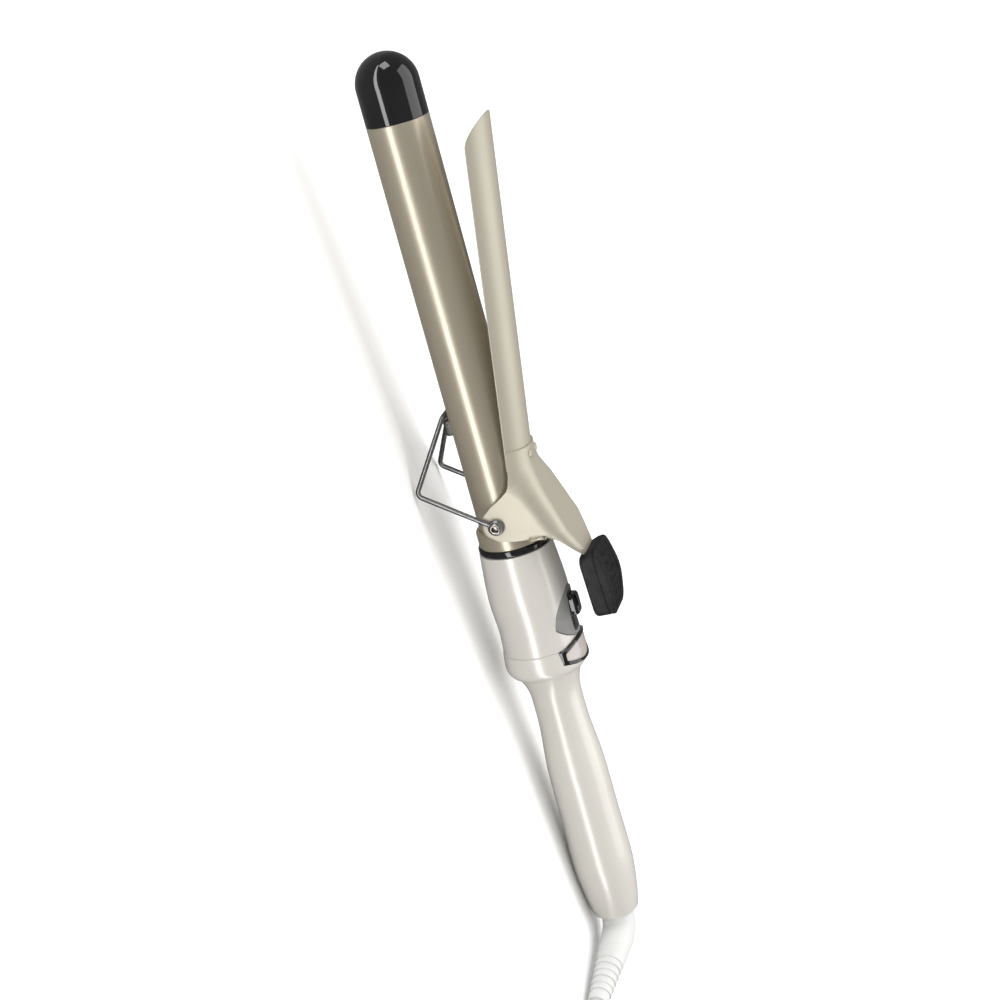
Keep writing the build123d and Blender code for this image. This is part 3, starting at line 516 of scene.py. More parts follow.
tie_loop = evenly(rounded([(-COIL_HALF - 0.5, 0.6), (COIL_HALF + 0.5, 0.6), (COIL_HALF + 0.5, coil_top + 0.5),
                           (-COIL_HALF - 0.5, coil_top + 0.5)], 2.6), 96, closed=True)
u, w, v = band(tie_loop, TIE_WIDTH, TIE_THICK, 0.4)
tie_points = np.stack([COIL_CENTRE[0] + COIL_MEAN + u, COIL_CENTRE[1] + w, v], -1) * MM
tie = grid_piece("cord_tie", tie_points, "swivel", ["coil_tie"], "black_rubber", wrap_rows=True, in_frame=True)

# %% [markdown]
# ## The plug
# A flat two-pin plug: a six-sided grip with soft corners that necks into its own little boot. Its sections are
# superellipses whose two half sizes change along the plug, so one formula gives the face, the grip and the boot.

# %% Plug
PLUG_X, PLUG_BACK, PLUG_LENGTH, BOOT_LENGTH = -293.0, 49.0, 34.0, 15.0
plug_face = PLUG_BACK - BOOT_LENGTH - PLUG_LENGTH
stations = np.array([0.0, 0.0, 0.35, 1.2, 10.0, 18.7, 24.0, 29.0, 34.0, 34.8, 36.0, 39.0, 39.3, 40.3, 40.6, 43.0,
                     43.3, 44.3, 44.6, 48.6, 49.0, 49.0])
plug_wide = np.interp(stations, [0, 0.35, 1.2, 18.7, 29.0, 34.0, 35.5, 49.0],
                      [16.6, 17.3, 17.6, 17.6, 10.6, 6.8, 5.2, 4.0])
plug_thick = np.interp(stations, [0, 0.35, 1.2, 18.7, 34.0, 35.5, 49.0], [5.9, 6.5, 6.8, 6.8, 5.6, 5.2, 4.0])
plug_wide[[0, -1]] = plug_thick[[0, -1]] = 0
ribs = np.where(np.isin(stations, [39.3, 40.3, 43.3, 44.3]), 0.5, 0.0)
power = np.interp(stations, [0, 18.7, 36], [0.45, 0.45, 1.0])[:, None]
a = full_turn(96)[None, :]
section_u = np.sign(np.cos(a)) * np.abs(np.cos(a)) ** power
section_v = np.sign(np.sin(a)) * np.abs(np.sin(a)) ** power
plug_points = np.stack(np.broadcast_arrays(
    PLUG_X + (plug_wide - ribs)[:, None] * section_u, plug_face + stations[:, None],
    plug_level + (plug_thick - ribs)[:, None] * section_v), -1) * MM
plug = grid_piece("plug", plug_points, "swivel", ["plug_body"], "plug_grey", in_frame=True)

PIN_PITCH, PIN_INSET, PIN_STRETCH = 18.6, 0.2, 0.99
pin_profile = np.array([(0.0, 0), (0, 2.0), (9.0, 2.0), (9.2, 1.85), (9.4, 2.0), (17.4, 2.0), (18.3, 1.75),
                        (18.8, 1.2), (19.0, 0.6), (19.0, 0)])
turned_pin = revolved(pin_profile, full_turn(32))
for side in (-1, 1):
    placed = np.stack([PLUG_X + side * PIN_PITCH / 2 + turned_pin[..., 1],
                       plug_face + PIN_INSET - turned_pin[..., 0] * PIN_STRETCH,
                       plug_level + turned_pin[..., 2]], -1) * MM
    grid_piece("plug_pin_" + ("left" if side < 0 else "right"), placed, "swivel",
                                ["plug_pins"], "contact_brass", in_frame=True)
print("plug faces:", len(plug.data.polygons))

# %% [markdown]
# ## The strain relief
# The boot turns with the cord in the handle's end. It leaves the lip as a short cone, bends in an elbow towards the
# side, and tapers down to the cord. The last stretch is grooved, which lets it flex. A centre line of straight, arc
# and straight is worked out from the distance along it, and a circle of changing radius is carried along.

# %% Boot
HANDLE_END = -190.2
BOOT_CONE, BOOT_BEND, BOOT_TURN, BOOT_STRAIGHT = 1.5, 9.5, math.radians(78.0), 37.0
BOOT_DROOP = math.radians(5.0)
arc_length = BOOT_BEND * BOOT_TURN


def boot_line(s):
    """Point and heading at a distance s from the root: back along x, round a circle, then straight on."""
    turn = np.clip((s - BOOT_CONE) / BOOT_BEND, 0, BOOT_TURN)
    tail = np.maximum(s - BOOT_CONE - arc_length, 0)
    x = -np.minimum(s, BOOT_CONE) - BOOT_BEND * np.sin(turn) - tail * math.cos(BOOT_TURN)
    y = BOOT_BEND * (1 - np.cos(turn)) + tail * math.sin(BOOT_TURN)
    return x, y, turn


boot_end = BOOT_CONE + arc_length + BOOT_STRAIGHT
groove_starts = boot_end - 5.0 - 3.4 * np.arange(6)
s = np.unique(np.concatenate([np.linspace(0, boot_end, 160), *[start + np.array([0, .3, 1.3, 1.6])
                                                                for start in groove_starts]]))
boot_radius = np.interp(s, [0, BOOT_CONE, BOOT_CONE + arc_length, boot_end], [8.2, 7.2, 7.15, 4.4])
in_groove = ((s[:, None] > groove_starts + 0.1) & (s[:, None] < groove_starts + 1.5)).any(1)
boot_radius = boot_radius - 0.55 * in_groove
s_all = np.concatenate([[0, 0], s, [boot_end, boot_end]])
boot_radius = np.concatenate([[0, boot_radius[0] - 0.3], boot_radius, [4.0, 0]])
bx, by, bend = boot_line(s_all)
a = full_turn(72)[None, :]
ring_x = bx[:, None] + boot_radius[:, None] * np.cos(a) * np.sin(bend)[:, None]
ring_y = by[:, None] + boot_radius[:, None] * np.cos(a) * np.cos(bend)[:, None]
ring_z = np.broadcast_to(boot_radius[:, None] * np.sin(a), ring_x.shape)
c, sn = math.cos(BOOT_DROOP), math.sin(BOOT_DROOP)
boot_points = np.stack([HANDLE_END - 0.5 + ring_x, ring_y * c + ring_z * sn, ring_z * c - ring_y * sn], -1)
boot = grid_piece("strain_relief_boot", boot_points, "swivel", ["strain_relief"], "cord_grey", sharp=50)
boot_tip = laid(boot_points[-1].mean(0))
print("boot ends at", boot_tip.round(4))

# %% [markdown]
# ## The barrel and its cap
# The barrel is a thin drawn tube, and the cap is a moulded dome whose skirt pushes into it. Both are turned shapes:
# a closed profile carried round the axis. A tiny round on each edge catches the light where the two meet.

# %% Barrel and cap
BARREL_R, BORE_R, BARREL_END, BARREL_TAIL = 12.5, 11.7, 164.4, -27.0
barrel_profile = rounded([(BARREL_TAIL, BORE_R), (BARREL_TAIL, BARREL_R), (BARREL_END - 0.03, BARREL_R),
                          (BARREL_END - 0.03, BORE_R)], 0.15)
grid_piece("barrel", revolved(barrel_profile, full_turn(160)), "iron", ["barrel_tube"], "barrel_coating",
           wrap_rows=True)
DOME_CENTRE, CAP_BORE, SKIRT_R = 178.2, 10.35, 11.55
cap_profile = np.vstack([
    arc_points(DOME_CENTRE, BARREL_R, 0, 90, 48), [(170.0, BARREL_R)],
    rounded([(168.0, BARREL_R), (BARREL_END + 0.03, BARREL_R), (BARREL_END + 0.03, SKIRT_R), (155.4, SKIRT_R),
             (155.4, CAP_BORE), (166.0, CAP_BORE)], [0, 0.2, 0, 0.2, 0.2, 0], closed=False),
    arc_points(DOME_CENTRE, CAP_BORE, 90, 0, 24)])
cap = grid_piece("tip_cap_skin", revolved(cap_profile, full_turn(128)), "iron", ["tip_cap"], "gloss_black")
print("cap faces:", len(cap.data.polygons))

# %% [markdown]
# ## Ferrule and seal ring
# At the barrel's foot a coated collar closes the handle, and behind it a black ring keeps heat and steam out. They
# are turned shapes too. The ferrule's front edge has a full round, the ring is a soft bead.

# %% Ferrule and ring
FERRULE_FRONT, FERRULE_BACK, GRIP_FRONT = -4.6, -11.8, -14.8
ferrule_profile = rounded([(FERRULE_FRONT, 12.65), (FERRULE_FRONT, 14.3), (FERRULE_BACK, 14.3),
                           (FERRULE_BACK, 13.15), (-23.8, 13.15), (-23.8, 12.65)], [0.1, 1.4, 0.25, 0, 0.2, 0.2])
grid_piece("ferrule", revolved(ferrule_profile, full_turn(128)), "iron", ["barrel_ferrule"], "barrel_coating",
           wrap_rows=True)
ring_profile = rounded([(FERRULE_BACK - 0.05, 13.3), (FERRULE_BACK - 0.05, 15.1), (GRIP_FRONT + 0.05, 15.1),
                        (GRIP_FRONT + 0.05, 13.3)], [0.2, 0.9, 0.9, 0.2])
grid_piece("seal_bead", revolved(ring_profile, full_turn(128)), "iron", ["seal_ring"], "gloss_black",
           wrap_rows=True)

# %% [markdown]
# ## The handle
# The handle is moulded in left and right halves, an upper pair and a lower pair, with a collar between. The
# outline of each is a smooth curve through a few diameters, and a wall is the same curve moved in. Half a turn of
# that wall, with a fine groove along the parting line, is one shell.

# %% Outlines
COLLAR_FRONT, LOWER_FRONT = -59.6, -71.2
WALL = 2.0
grip_outline = [(0.0, 30.6), (0.24, 32.5), (0.54, 33.6), (0.8, 32.4), (1.0, 33.4)]
collar_outline = [(0.0, 33.8), (0.45, 35.0), (0.8, 34.2), (1.0, 30.4)]
lower_outline = [(0.0, 28.4), (0.03, 25.2), (0.07, 22.2), (0.13, 21.3), (0.19, 21.4), (0.25, 22.2), (0.36, 24.5),
                 (0.52, 25.3), (0.7, 26.0), (0.8, 26.2), (0.91, 23.7), (0.97, 21.4), (1.0, 19.8)]


def outline_curve(front, back, outline, samples=400):
    """The outline's shares and diameters as (x, radius), made smooth."""
    return smooth_through([(front + share * (back - front), d / 2) for share, d in outline], samples)


def softened(curve, soft):
    """The radius is lowered near both ends as a quarter circle, so the rim is rounded."""
    x, r = curve[:, 0], curve[:, 1]
    near = np.minimum(np.abs(x - x[0]), np.abs(x - x[-1])).clip(0, soft) / soft
    return np.stack([x, r - soft * (1 - np.sqrt(1 - (1 - near) ** 2))], -1)


def dense_ends(front, back, count, soft):
    """Places from front to back, with extra ones inside the soft rims."""
    u = soft * (1 - np.cos(np.linspace(0, np.pi / 2, 6)))
    way = np.sign(back - front)
    return np.concatenate([front + way * u, np.linspace(front, back, count)[1:-1], (back - way * u)[::-1]])


def shell_profile(curve, count, soft, inner=None):
    """A closed wall: the softened outer curve out, and the inner one back."""
    x = dense_ends(curve[0, 0], curve[-1, 0], count, soft)
    x = np.sort(x)[::-1]
    order = np.argsort(curve[:, 0])
    r = np.interp(x, curve[order, 0], curve[order, 1])
    outer = softened(np.stack([x, r], -1), soft)
    inside = r - WALL if inner is None else inner(x, r - WALL)
    return np.vstack([outer, np.stack([x, inside], -1)[::-1]])


def half_turn(side, count, groove):
    """Angles from one parting line to the other, with close ones for the groove's flank."""
    edge = np.array([0.0003, groove, 2 * groove])
    a = np.concatenate([edge, np.linspace(3 * groove, np.pi - 3 * groove, count), np.pi - edge[::-1]]) - np.pi / 2
    return a if side > 0 else np.pi - a[::-1]


def half_shell(name, profile, side, node, slot, depth=0.14):
    """One shell: the profile carried half round, with its outside lowered at the parting line, and two flat faces
    that close it there."""
    angles = half_turn(side, 72, 0.011)
    points = revolved(profile, angles)
    outer = slice(0, len(profile) // 2)
    for column in (0, -1):
        points[outer, column, 1:] *= 1 - depth / np.maximum(profile[outer, 1], 1)[:, None]
    rows, columns = points.shape[:2]
    first, last = np.arange(rows) * columns, np.arange(rows) * columns + columns - 1
    return grid_piece(name, points, "iron", [node], slot, wrap_rows=True, wrap_columns=False, caps=[first, last])


grip_curve = outline_curve(GRIP_FRONT, COLLAR_FRONT, grip_outline)
lower_curve = outline_curve(LOWER_FRONT, HANDLE_END, lower_outline, 1200)
collar_curve = outline_curve(COLLAR_FRONT, LOWER_FRONT, collar_outline)
grip_profile = shell_profile(grip_curve, 70, 0.3)
lower_profile = shell_profile(lower_curve, 150, 0.35,
                              lambda x, r: np.where(x < HANDLE_END + 4.0, 8.9, np.minimum(r, 30)))
sides = {"left": -1, "right": 1}
upper_shells = [half_shell("upper_shell_" + word, grip_profile, side, "upper_handle_" + word, "pearl_plastic")
                for word, side in sides.items()]
for word, side in sides.items():
    half_shell("lower_shell_" + word, lower_profile, side, "lower_handle_" + word, "pearl_plastic")
print("widest radii, mm:", grip_curve[:, 1].max().round(2), lower_curve[:, 1].max().round(2))

# %% Collar
collar_outer = softened(collar_curve, 0.5)
collar_profile = np.vstack([collar_outer[::6], collar_outer[-1:],
                            [(LOWER_FRONT, 14.3), (LOWER_FRONT, 8.8), (LOWER_FRONT - 5, 8.8), (LOWER_FRONT - 5, 6.8),
                             (LOWER_FRONT + 2, 6.8), (LOWER_FRONT + 2, 11.9), (COLLAR_FRONT + 5, 11.9),
                             (COLLAR_FRONT + 5, 13.9), (COLLAR_FRONT, 13.9)]])
collar = grid_piece("handle_collar", revolved(collar_profile, full_turn(144)), "iron", ["collar_ring"],
                    "pearl_plastic", wrap_rows=True)

# %% [markdown]
# ## Openings
# The switch plate sits in an opening of the upper shells, and the window in one of the collar. A prism with the
# opening's outline is taken out of the finished skin by a Boolean, applied at once, so the piece keeps a plain mesh.

# %% Openings


def prism_points(outline, low, high):
    """An outline (x, y) carried from one height to another, closed at both ends through poles."""
    heights = np.array([low, low, high, high])[:, None]
    scale = np.array([0.0, 1, 1, 0])[:, None]
    middle = outline.mean(0)
    return np.stack(np.broadcast_arrays(middle[0] + scale * (outline[:, 0] - middle[0]),
                                        middle[1] + scale * (outline[:, 1] - middle[1]), heights), -1)


def take_out(target, outline, low, high):
    """Cuts a prism out of a piece and keeps the result as its mesh."""
    cutter = grid_piece("cutter", prism_points(outline, low, high), None, weighted=False)
    cut = target.modifiers.new("opening", "BOOLEAN")
    cut.object, cut.operation, cut.solver = cutter, "DIFFERENCE", "EXACT"
    target.modifiers.move(len(target.modifiers) - 1, 0)
    for other in list(target.modifiers)[1:]:
        other.show_viewport = False
    bpy.context.view_layer.update()
    made = bpy.data.meshes.new_from_object(target.evaluated_get(bpy.context.evaluated_depsgraph_get()))
    target.modifiers.remove(cut)
    for other in target.modifiers:
        other.show_viewport = True
    target.data = made
    made.set_sharp_from_angle(angle=math.radians(40))
    bpy.data.objects.remove(cutter)
    return len(made.polygons)


SWITCH_FRONT, SWITCH_LENGTH, SWITCH_HALF = -35.4, 21.6, 11.6
PLATE_GAP = 0.22


def teardrop(gap):
    """The plate's outline in plan: two curves from the point out to the shoulders, and an arc round the back."""
    front, back, wide = SWITCH_FRONT + gap, SWITCH_FRONT - SWITCH_LENGTH - gap, SWITCH_HALF + gap
    shoulder, corner = SWITCH_FRONT - 0.36 * SWITCH_LENGTH, back + 0.3 * SWITCH_LENGTH
    side = smooth_through([(front, 0), (front - 1.6, wide * 0.34), (shoulder, wide * 0.86), (corner, wide)], 40)
    depth = corner - back
    r = (wide ** 2 + depth ** 2) / (2 * depth)
    sweep = math.asin(min(wide / r, 1.0))
    a = np.linspace(sweep, -sweep, 50)[1:-1]
    rear = np.stack([back + r - r * np.cos(a), r * np.sin(a)], -1)
    return evenly(np.vstack([side, rear, side[::-1] * (1, -1)])[:-1], 160, closed=True)


for shell in upper_shells:
    take_out(shell, teardrop(PLATE_GAP), 5.0, 30.0)

# %% [markdown]
# ## The switch
# The grey plate follows the handle and stands a little proud of it, with a slot down its middle. In the slot a gloss
# black strip slides with its thumb knob. The plate is a ring of loops between two outlines, the slot's and the
# teardrop's, lifted onto the handle's own curve.

# %% Switch plate and slider


def on_skin(x, y, curve, proud):
    """Height over a turned surface: the root of (radius(x) + proud) squared less y squared."""
    order = np.argsort(curve[:, 0])
    r = np.interp(x, curve[order, 0], curve[order, 1]) + proud
    return np.sqrt(np.maximum(r ** 2 - y ** 2, 0))


def by_angle(outline, centre, count):
    """An outline resampled at equal angles round a centre, so two outlines' points face each other."""
    d = outline - centre
    angle, reach = np.arctan2(d[:, 1], d[:, 0]), np.hypot(d[:, 0], d[:, 1])
    order = np.argsort(angle)
    angle, reach = angle[order], reach[order]
    a = np.linspace(-np.pi, np.pi, count, endpoint=False)
    r = np.interp(a, np.concatenate([angle - 2 * np.pi, angle, angle + 2 * np.pi]), np.tile(reach, 3))
    return centre + r[:, None] * np.stack([np.cos(a), np.sin(a)], -1)


def plate_ring(outer, inner, curve, proud, deep, soft):
    """A plate with a hole: loops from the outer wall's foot, over its rounded edge and the top, to the hole's
    wall's foot. Each loop is a share of the way between the outlines, and a height on the handle's curve."""
    gap = np.linalg.norm(outer - inner, axis=1)
    bends = soft * (1 - np.cos(np.linspace(0, np.pi / 2, 5)))
    drops = soft * (1 - np.sin(np.linspace(0, np.pi / 2, 5)))
    inset = np.concatenate([[0.0], bends, np.zeros(8), (-bends)[::-1], [0.0]])
    share = np.concatenate([np.zeros(6), np.linspace(0, 1, 10)[1:-1], np.ones(6)])
    drop = np.concatenate([[deep], drops, np.zeros(8), drops[::-1], [deep]])
    f = np.clip(share[:, None] + inset[:, None] / gap, 0, 1)
    xy = outer[None] * (1 - f)[..., None] + inner[None] * f[..., None]
    z = on_skin(xy[..., 0], xy[..., 1], curve, proud) - drop[:, None]
    return np.concatenate([xy, z[..., None]], -1)


SLOT_FRONT, SLOT_LENGTH, SLOT_WIDTH = -37.8, 17.5, 7.0
slot_centre = np.array([SLOT_FRONT - SLOT_LENGTH / 2, 0.0])
slot_corners = slot_centre + np.array([(1, -1), (1, 1), (-1, 1), (-1, -1)]) * (SLOT_LENGTH / 2, SLOT_WIDTH / 2)
slot_outline = by_angle(evenly(rounded(slot_corners, 1.2), 400, closed=True), slot_centre, 240)
plate_outline = by_angle(teardrop(0.0), slot_centre, 240)
plate = plate_ring(plate_outline, slot_outline, grip_curve, 0.5, 2.1, 0.3)
grid_piece("switch_cover", plate, "iron", ["switch_plate"], "grey_plastic", wrap_rows=True)

strip_middle = SLOT_FRONT - 0.6 - 5.65
a = full_turn(120)[None, :]
strip_u = np.sign(np.cos(a)) * np.abs(np.cos(a)) ** 0.3
strip_v = np.sign(np.sin(a)) * np.abs(np.sin(a)) ** 0.3
strip_long = np.array([0, 5.65, 5.65, 5.55, 5.4, 4.9, 4.75, 4.7, 4.6, 4.3, 3.7, 2.8, 1.6, 0])[:, None]
strip_wide = np.array([0, 3.2, 3.2, 3.15, 3.08, 3.05, 3.0, 2.98, 2.9, 2.65, 2.2, 1.6, 0.9, 0])[:, None]
strip_z = np.array([15.4, 15.4, 16.5, 16.72, 16.8, 16.82, 16.95, 18.4, 19.1, 19.65, 19.98, 20.12, 20.18, 20.2])
knob_points = np.stack(np.broadcast_arrays(strip_middle + strip_long * strip_u, strip_wide * strip_v,
                                           strip_z[:, None]), -1)
grid_piece("slide_knob", knob_points, "slider", ["switch_slider"], "gloss_black")

# %% [markdown]
# ## The indicator window
# An almond of clear plastic in a black frame is let into the collar. Both are loops of the same outline at different
# insets: two shallow arcs fore and aft and two short sides.

# %% Window
WINDOW_X, WINDOW_HALF, WINDOW_MID, WINDOW_END = -62.8, 13.4, 11.4, 5.4
CREST = 17.5


def almond(gap):
    """The window's outline in plan, grown by a gap: an arc through the middle and the end on each long side."""
    wide, middle, end = WINDOW_HALF + gap, WINDOW_MID / 2 + gap, WINDOW_END / 2 + gap
    bulge = middle - end
    r = (wide ** 2 + bulge ** 2) / (2 * bulge)
    y = np.linspace(-wide, wide, 90)
    x = middle - r + np.sqrt(r ** 2 - y ** 2)
    front, rear = np.stack([WINDOW_X + x, y], -1), np.stack([WINDOW_X - x, y], -1)[::-1]
    return by_angle(evenly(np.vstack([front, rear]), 900, closed=True), np.array([WINDOW_X, 0.0]), 240)


crest_curve = np.array([(-50.0, CREST), (-80.0, CREST)])
take_out(collar, almond(0.15), 5.0, 30.0)
frame_ring = plate_ring(almond(0.0), almond(-1.15), crest_curve, 0.4, 3.0, 0.35)
grid_piece("window_frame", frame_ring, "iron", ["indicator_frame"], "gloss_black", wrap_rows=True)
lens_edge = almond(-1.21)
lens_share = np.array([0, 0.3, 0.6, 0.85, 1.0, 1.0, 0.85, 0.6, 0.3, 0])[:, None, None]
lens_xy = np.array([WINDOW_X, 0]) + lens_share * (lens_edge - np.array([WINDOW_X, 0]))[None]
lens_lift = np.array([0.25, 0.22, 0.15, 0.05, -0.1, -1.7, -1.7, -1.7, -1.7, -1.7])[:, None]
lens_z = on_skin(lens_xy[..., 0], lens_xy[..., 1], crest_curve, 0.0) + lens_lift
grid_piece("window_pane", np.concatenate([lens_xy, lens_z[..., None]], -1), "iron", ["indicator_lens"],
           "window_lens")

# %% [markdown]
# ## The clamp's tongue
# The jaw is a strip rolled to the barrel's curve, with a rounded end. Its section is the arc between two radii,
# closed by a small half round at each rim, and the arc's half angle follows from the width at that place along it.

# %% Tongue
TONGUE_IN, TONGUE_OUT, TONGUE_HALF = 12.8, 13.6, 12.0
TONGUE_START, TONGUE_TIP = 22.0, 163.8
body_x = np.linspace(TONGUE_START, TONGUE_TIP - TONGUE_HALF, 60)
nose = np.linspace(0, np.pi / 2, 40)[1:]
tongue_x = np.concatenate([body_x, TONGUE_TIP - TONGUE_HALF + TONGUE_HALF * np.sin(nose)])
tongue_half = np.concatenate([np.full(60, TONGUE_HALF), TONGUE_HALF * np.cos(nose)]).clip(0.25)
half_angle = np.arcsin(tongue_half / TONGUE_OUT)[:, None]
spread_a = np.linspace(-1, 1, 49)[None, :]
rim = np.linspace(-np.pi / 2, np.pi / 2, 7)[None, 1:-1]
thick_half = (TONGUE_OUT - TONGUE_IN) / 2
mid_r = (TONGUE_OUT + TONGUE_IN) / 2
edge_round = thick_half * np.cos(rim) / mid_r
angle = np.concatenate([half_angle * spread_a, half_angle + edge_round, half_angle * spread_a[:, ::-1],
                        -half_angle - edge_round], 1)
reach = np.concatenate([np.full_like(half_angle * spread_a, TONGUE_OUT),
                        np.broadcast_to(mid_r - thick_half * np.sin(rim), (len(tongue_x), 5)),
                        np.full_like(half_angle * spread_a, TONGUE_IN),
                        np.broadcast_to(mid_r + thick_half * np.sin(rim), (len(tongue_x), 5))], 1)
tongue_points = np.stack([np.broadcast_to(tongue_x[:, None], angle.shape), reach * np.sin(angle),
                          reach * np.cos(angle)], -1)
columns = angle.shape[1]
grid_piece("clamp_jaw", tongue_points, "clamp", ["clamp_tongue"], "clamp_coating", opened=True, sharp=60,
           caps=[np.arange(columns), np.arange(columns) + columns * (len(tongue_x) - 1)])

# %% [markdown]
# ## The clamp's bracket
# One pressing carries everything: it wraps the tongue's foot, drops a rounded ear on each side to the pivot, and
# rises to the thumb rest. In side view it is ruled between the lower edge, with the ears, and the top line. Across,
# its corner is an arc whose radius shrinks from a saddle at the tongue to a tight bend at the thumb rest. The sheet
# is made as one skin, and Solidify gives it its thickness inwards.

# %% Bracket outlines
RISE = math.tan(math.radians(26.5))
BRACKET_TOP, BEND_X, BEND_SOFT, EAR_HALF, SHEET = 14.55, 22.5, 4.0, 15.8, 1.2
BRACKET_FRONT, LEVER_END, TANG_END = 30.0, -14.0, -17.0
FRONT_DROP, TANG_FALL, TANG_DEPTH = 0.25, 0.18, 2.2
LEVER_TOP = 34.76


def top_line(x):
    """The upper line: level ahead of the bend and rising behind it. The hyperbola (u + sqrt(u^2 + soft)) / 2 rounds
    the bend, and past the lever's end the tang rises less."""
    u = BEND_X - x
    climb = 0.5 * (u + np.sqrt(u ** 2 + BEND_SOFT)) * RISE
    return BRACKET_TOP - FRONT_DROP + climb - TANG_FALL * np.clip(LEVER_END - x, 0, None)


def half_width(x, z):
    """Half the width in plan: widest at the ears, narrower at the thumb rest above them."""
    wide = np.interp(x, [TANG_END, -4.0, 14.0, BRACKET_FRONT], [8.6, EAR_HALF, EAR_HALF, 13.9])
    high = np.clip((z - 11.0) / 8.0, 0, 1)
    return EAR_HALF * (1 - high) * (x < -3) + wide * np.where(x < -3, high, 1)


def corner_radius(x):
    """The bend between top and side: a wide saddle at the tongue, a tight fold at the thumb rest."""
    return np.interp(x, [TANG_END, -8.0, 4.0, 14.0, 24.0, BRACKET_FRONT], [4.6, 5.6, 7.0, 8.4, 11.6, 13.5])


EDGE_POINTS = 200
tang_foot = (TANG_END, LEVER_TOP - TANG_DEPTH)
ear = rounded([(BRACKET_FRONT, 6.7), (21.0, 6.9), (15.4, 6.4), (11.6, 2.6), (8.0, -1.8), (3.6, -5.7), (-3.6, -5.7),
               (-6.7, 0.0), (-6.6, 7.0), (-4.9, 19.4), (-7.4, 24.6), tang_foot],
              [0, 8, 5, 6, 4, 4, 4, 5, 14, 9, 9, 0], steps=10, closed=False)
lower = evenly(ear, EDGE_POINTS)

# %% Bracket skin
# Each place on the lower edge is joined to one on the top line. A few pairs (x, z below, x above) are given, and the
# places between them follow by interpolation.
keys = np.array([(BRACKET_FRONT, 6.7, BRACKET_FRONT), (15.4, 6.4, 21.5), (8.0, -1.8, 15.0), (3.3, -5.3, 10.0),
                 (-3.3, -5.3, 4.5), (-6.6, 0.0, 0.0), (-6.6, 7.0, -2.5), (-4.9, 19.4, -5.5), (-7.4, 24.6, -9.0),
                 (*tang_foot, TANG_END)])
nearest = np.linalg.norm(lower[None] - keys[:, None, :2], axis=2).argmin(1)
top_x = np.interp(np.arange(EDGE_POINTS), nearest, keys[:, 2])
upper = np.stack([top_x, top_line(top_x)], -1)
past_bend = BEND_X - top_x
slope = RISE * (1 + past_bend / np.sqrt(past_bend ** 2 + BEND_SOFT)) / 2

# Depth is measured square to the top line. From the lower edge up it is a straight wall, then a quarter circle.
WALL_STEPS, ARC_STEPS, TOP_STEPS, LEAST_FLAT = 22, 20, 7, 0.6
deep = ((upper[:, 1] - lower[:, 1]) * np.cos(np.arctan(slope)))[:, None]
corner = np.minimum(corner_radius(top_x), half_width(*upper.T) - LEAST_FLAT)[:, None]
wall_depth = deep + np.minimum(corner - deep, 0) * np.linspace(0, 1, WALL_STEPS)
arc_depth = np.minimum(corner * (1 - np.sin(np.linspace(0, np.pi / 2, ARC_STEPS))), deep)
depth = np.concatenate([wall_depth[:, :-1], arc_depth], 1)
rule = lower[:, None] + (upper - lower)[:, None] * (1 - depth / deep)[..., None]
above_centre = corner - np.minimum(depth, corner)
tuck = corner - np.sqrt(np.maximum(corner ** 2 - above_centre ** 2, 0))
side_y = half_width(rule[..., 0], rule[..., 1]) - tuck
side_wall = np.stack([rule[..., 0], side_y, rule[..., 1]], -1)
to_middle = np.linspace(1, 0, TOP_STEPS + 1)[1:]
top_flat = side_wall[:, -1:] * np.stack([np.ones(TOP_STEPS), to_middle, np.ones(TOP_STEPS)], -1)
half_skin = np.concatenate([side_wall, top_flat], 1)
bracket_points = np.concatenate([half_skin, half_skin[:, -2::-1] * (1, -1, 1)], 1)
bracket = grid_piece("clamp_lever", bracket_points, "clamp", ["clamp_bracket"], "clamp_coating",
                     wrap_columns=False, opened=True, sharp=60, weighted=False)
outwards = sum(n.normal.z for n in bracket.data.polygons) > 0
if not outwards:
    bracket.data.flip_normals()
thicken = bracket.modifiers.new("sheet", "SOLIDIFY")
thicken.thickness, thicken.offset = SHEET * MM, -1.0
edge = bracket.modifiers.new("edge", "BEVEL")
edge.width, edge.segments, edge.limit_method, edge.angle_limit = 0.0003, 2, "ANGLE", math.radians(60)
print("bracket faces:", len(bracket.data.polygons), "outwards:", outwards)

# %% [markdown]
# ## Rivets
# Two short rivets hold the tongue to the bracket, and a larger one on each side is the clamp's pivot, which also
# holds the stand's eye. A pivot rivet is drilled at its end and rolled over, so its head is a bead round a dark hole.

# %% Rivets
EYE_FACE = 18.0
head = np.array([(10.7, 0), (10.7, 2.0), (EYE_FACE - 0.05, 2.0), (EYE_FACE, 2.5), (EYE_FACE + 0.25, 2.62),
                 (EYE_FACE + 0.65, 2.5), (EYE_FACE + 0.93, 2.1), (EYE_FACE + 0.98, 1.7), (EYE_FACE + 0.85, 1.35),
                 (EYE_FACE + 0.4, 1.15), (EYE_FACE - 1.0, 1.05), (EYE_FACE - 1.2, 0)])
turned_head = revolved(head, full_turn(64))
for word, side in sides.items():
    points = np.stack([turned_head[..., 1], side * turned_head[..., 0], turned_head[..., 2]], -1)
    grid_piece("pivot_rivet_" + word, points, "iron", ["pivot_rivets"], "rivet_steel")
BUTTON = np.array([(12.9, 0), (12.9, 1.5), (13.9, 1.5), (14.0, 2.0), (14.6, 1.95), (14.85, 1.5), (15.0, 0.8),
                   (15.05, 0)])
turned_button = revolved(BUTTON, full_turn(40))
for word, side in sides.items():
    points = np.stack([26.4 + turned_button[..., 1], side * 3.4 + turned_button[..., 2], turned_button[..., 0]], -1)
    grid_piece("jaw_rivet_" + word, points, "clamp", ["tongue_rivets"], "clamp_coating", opened=True)

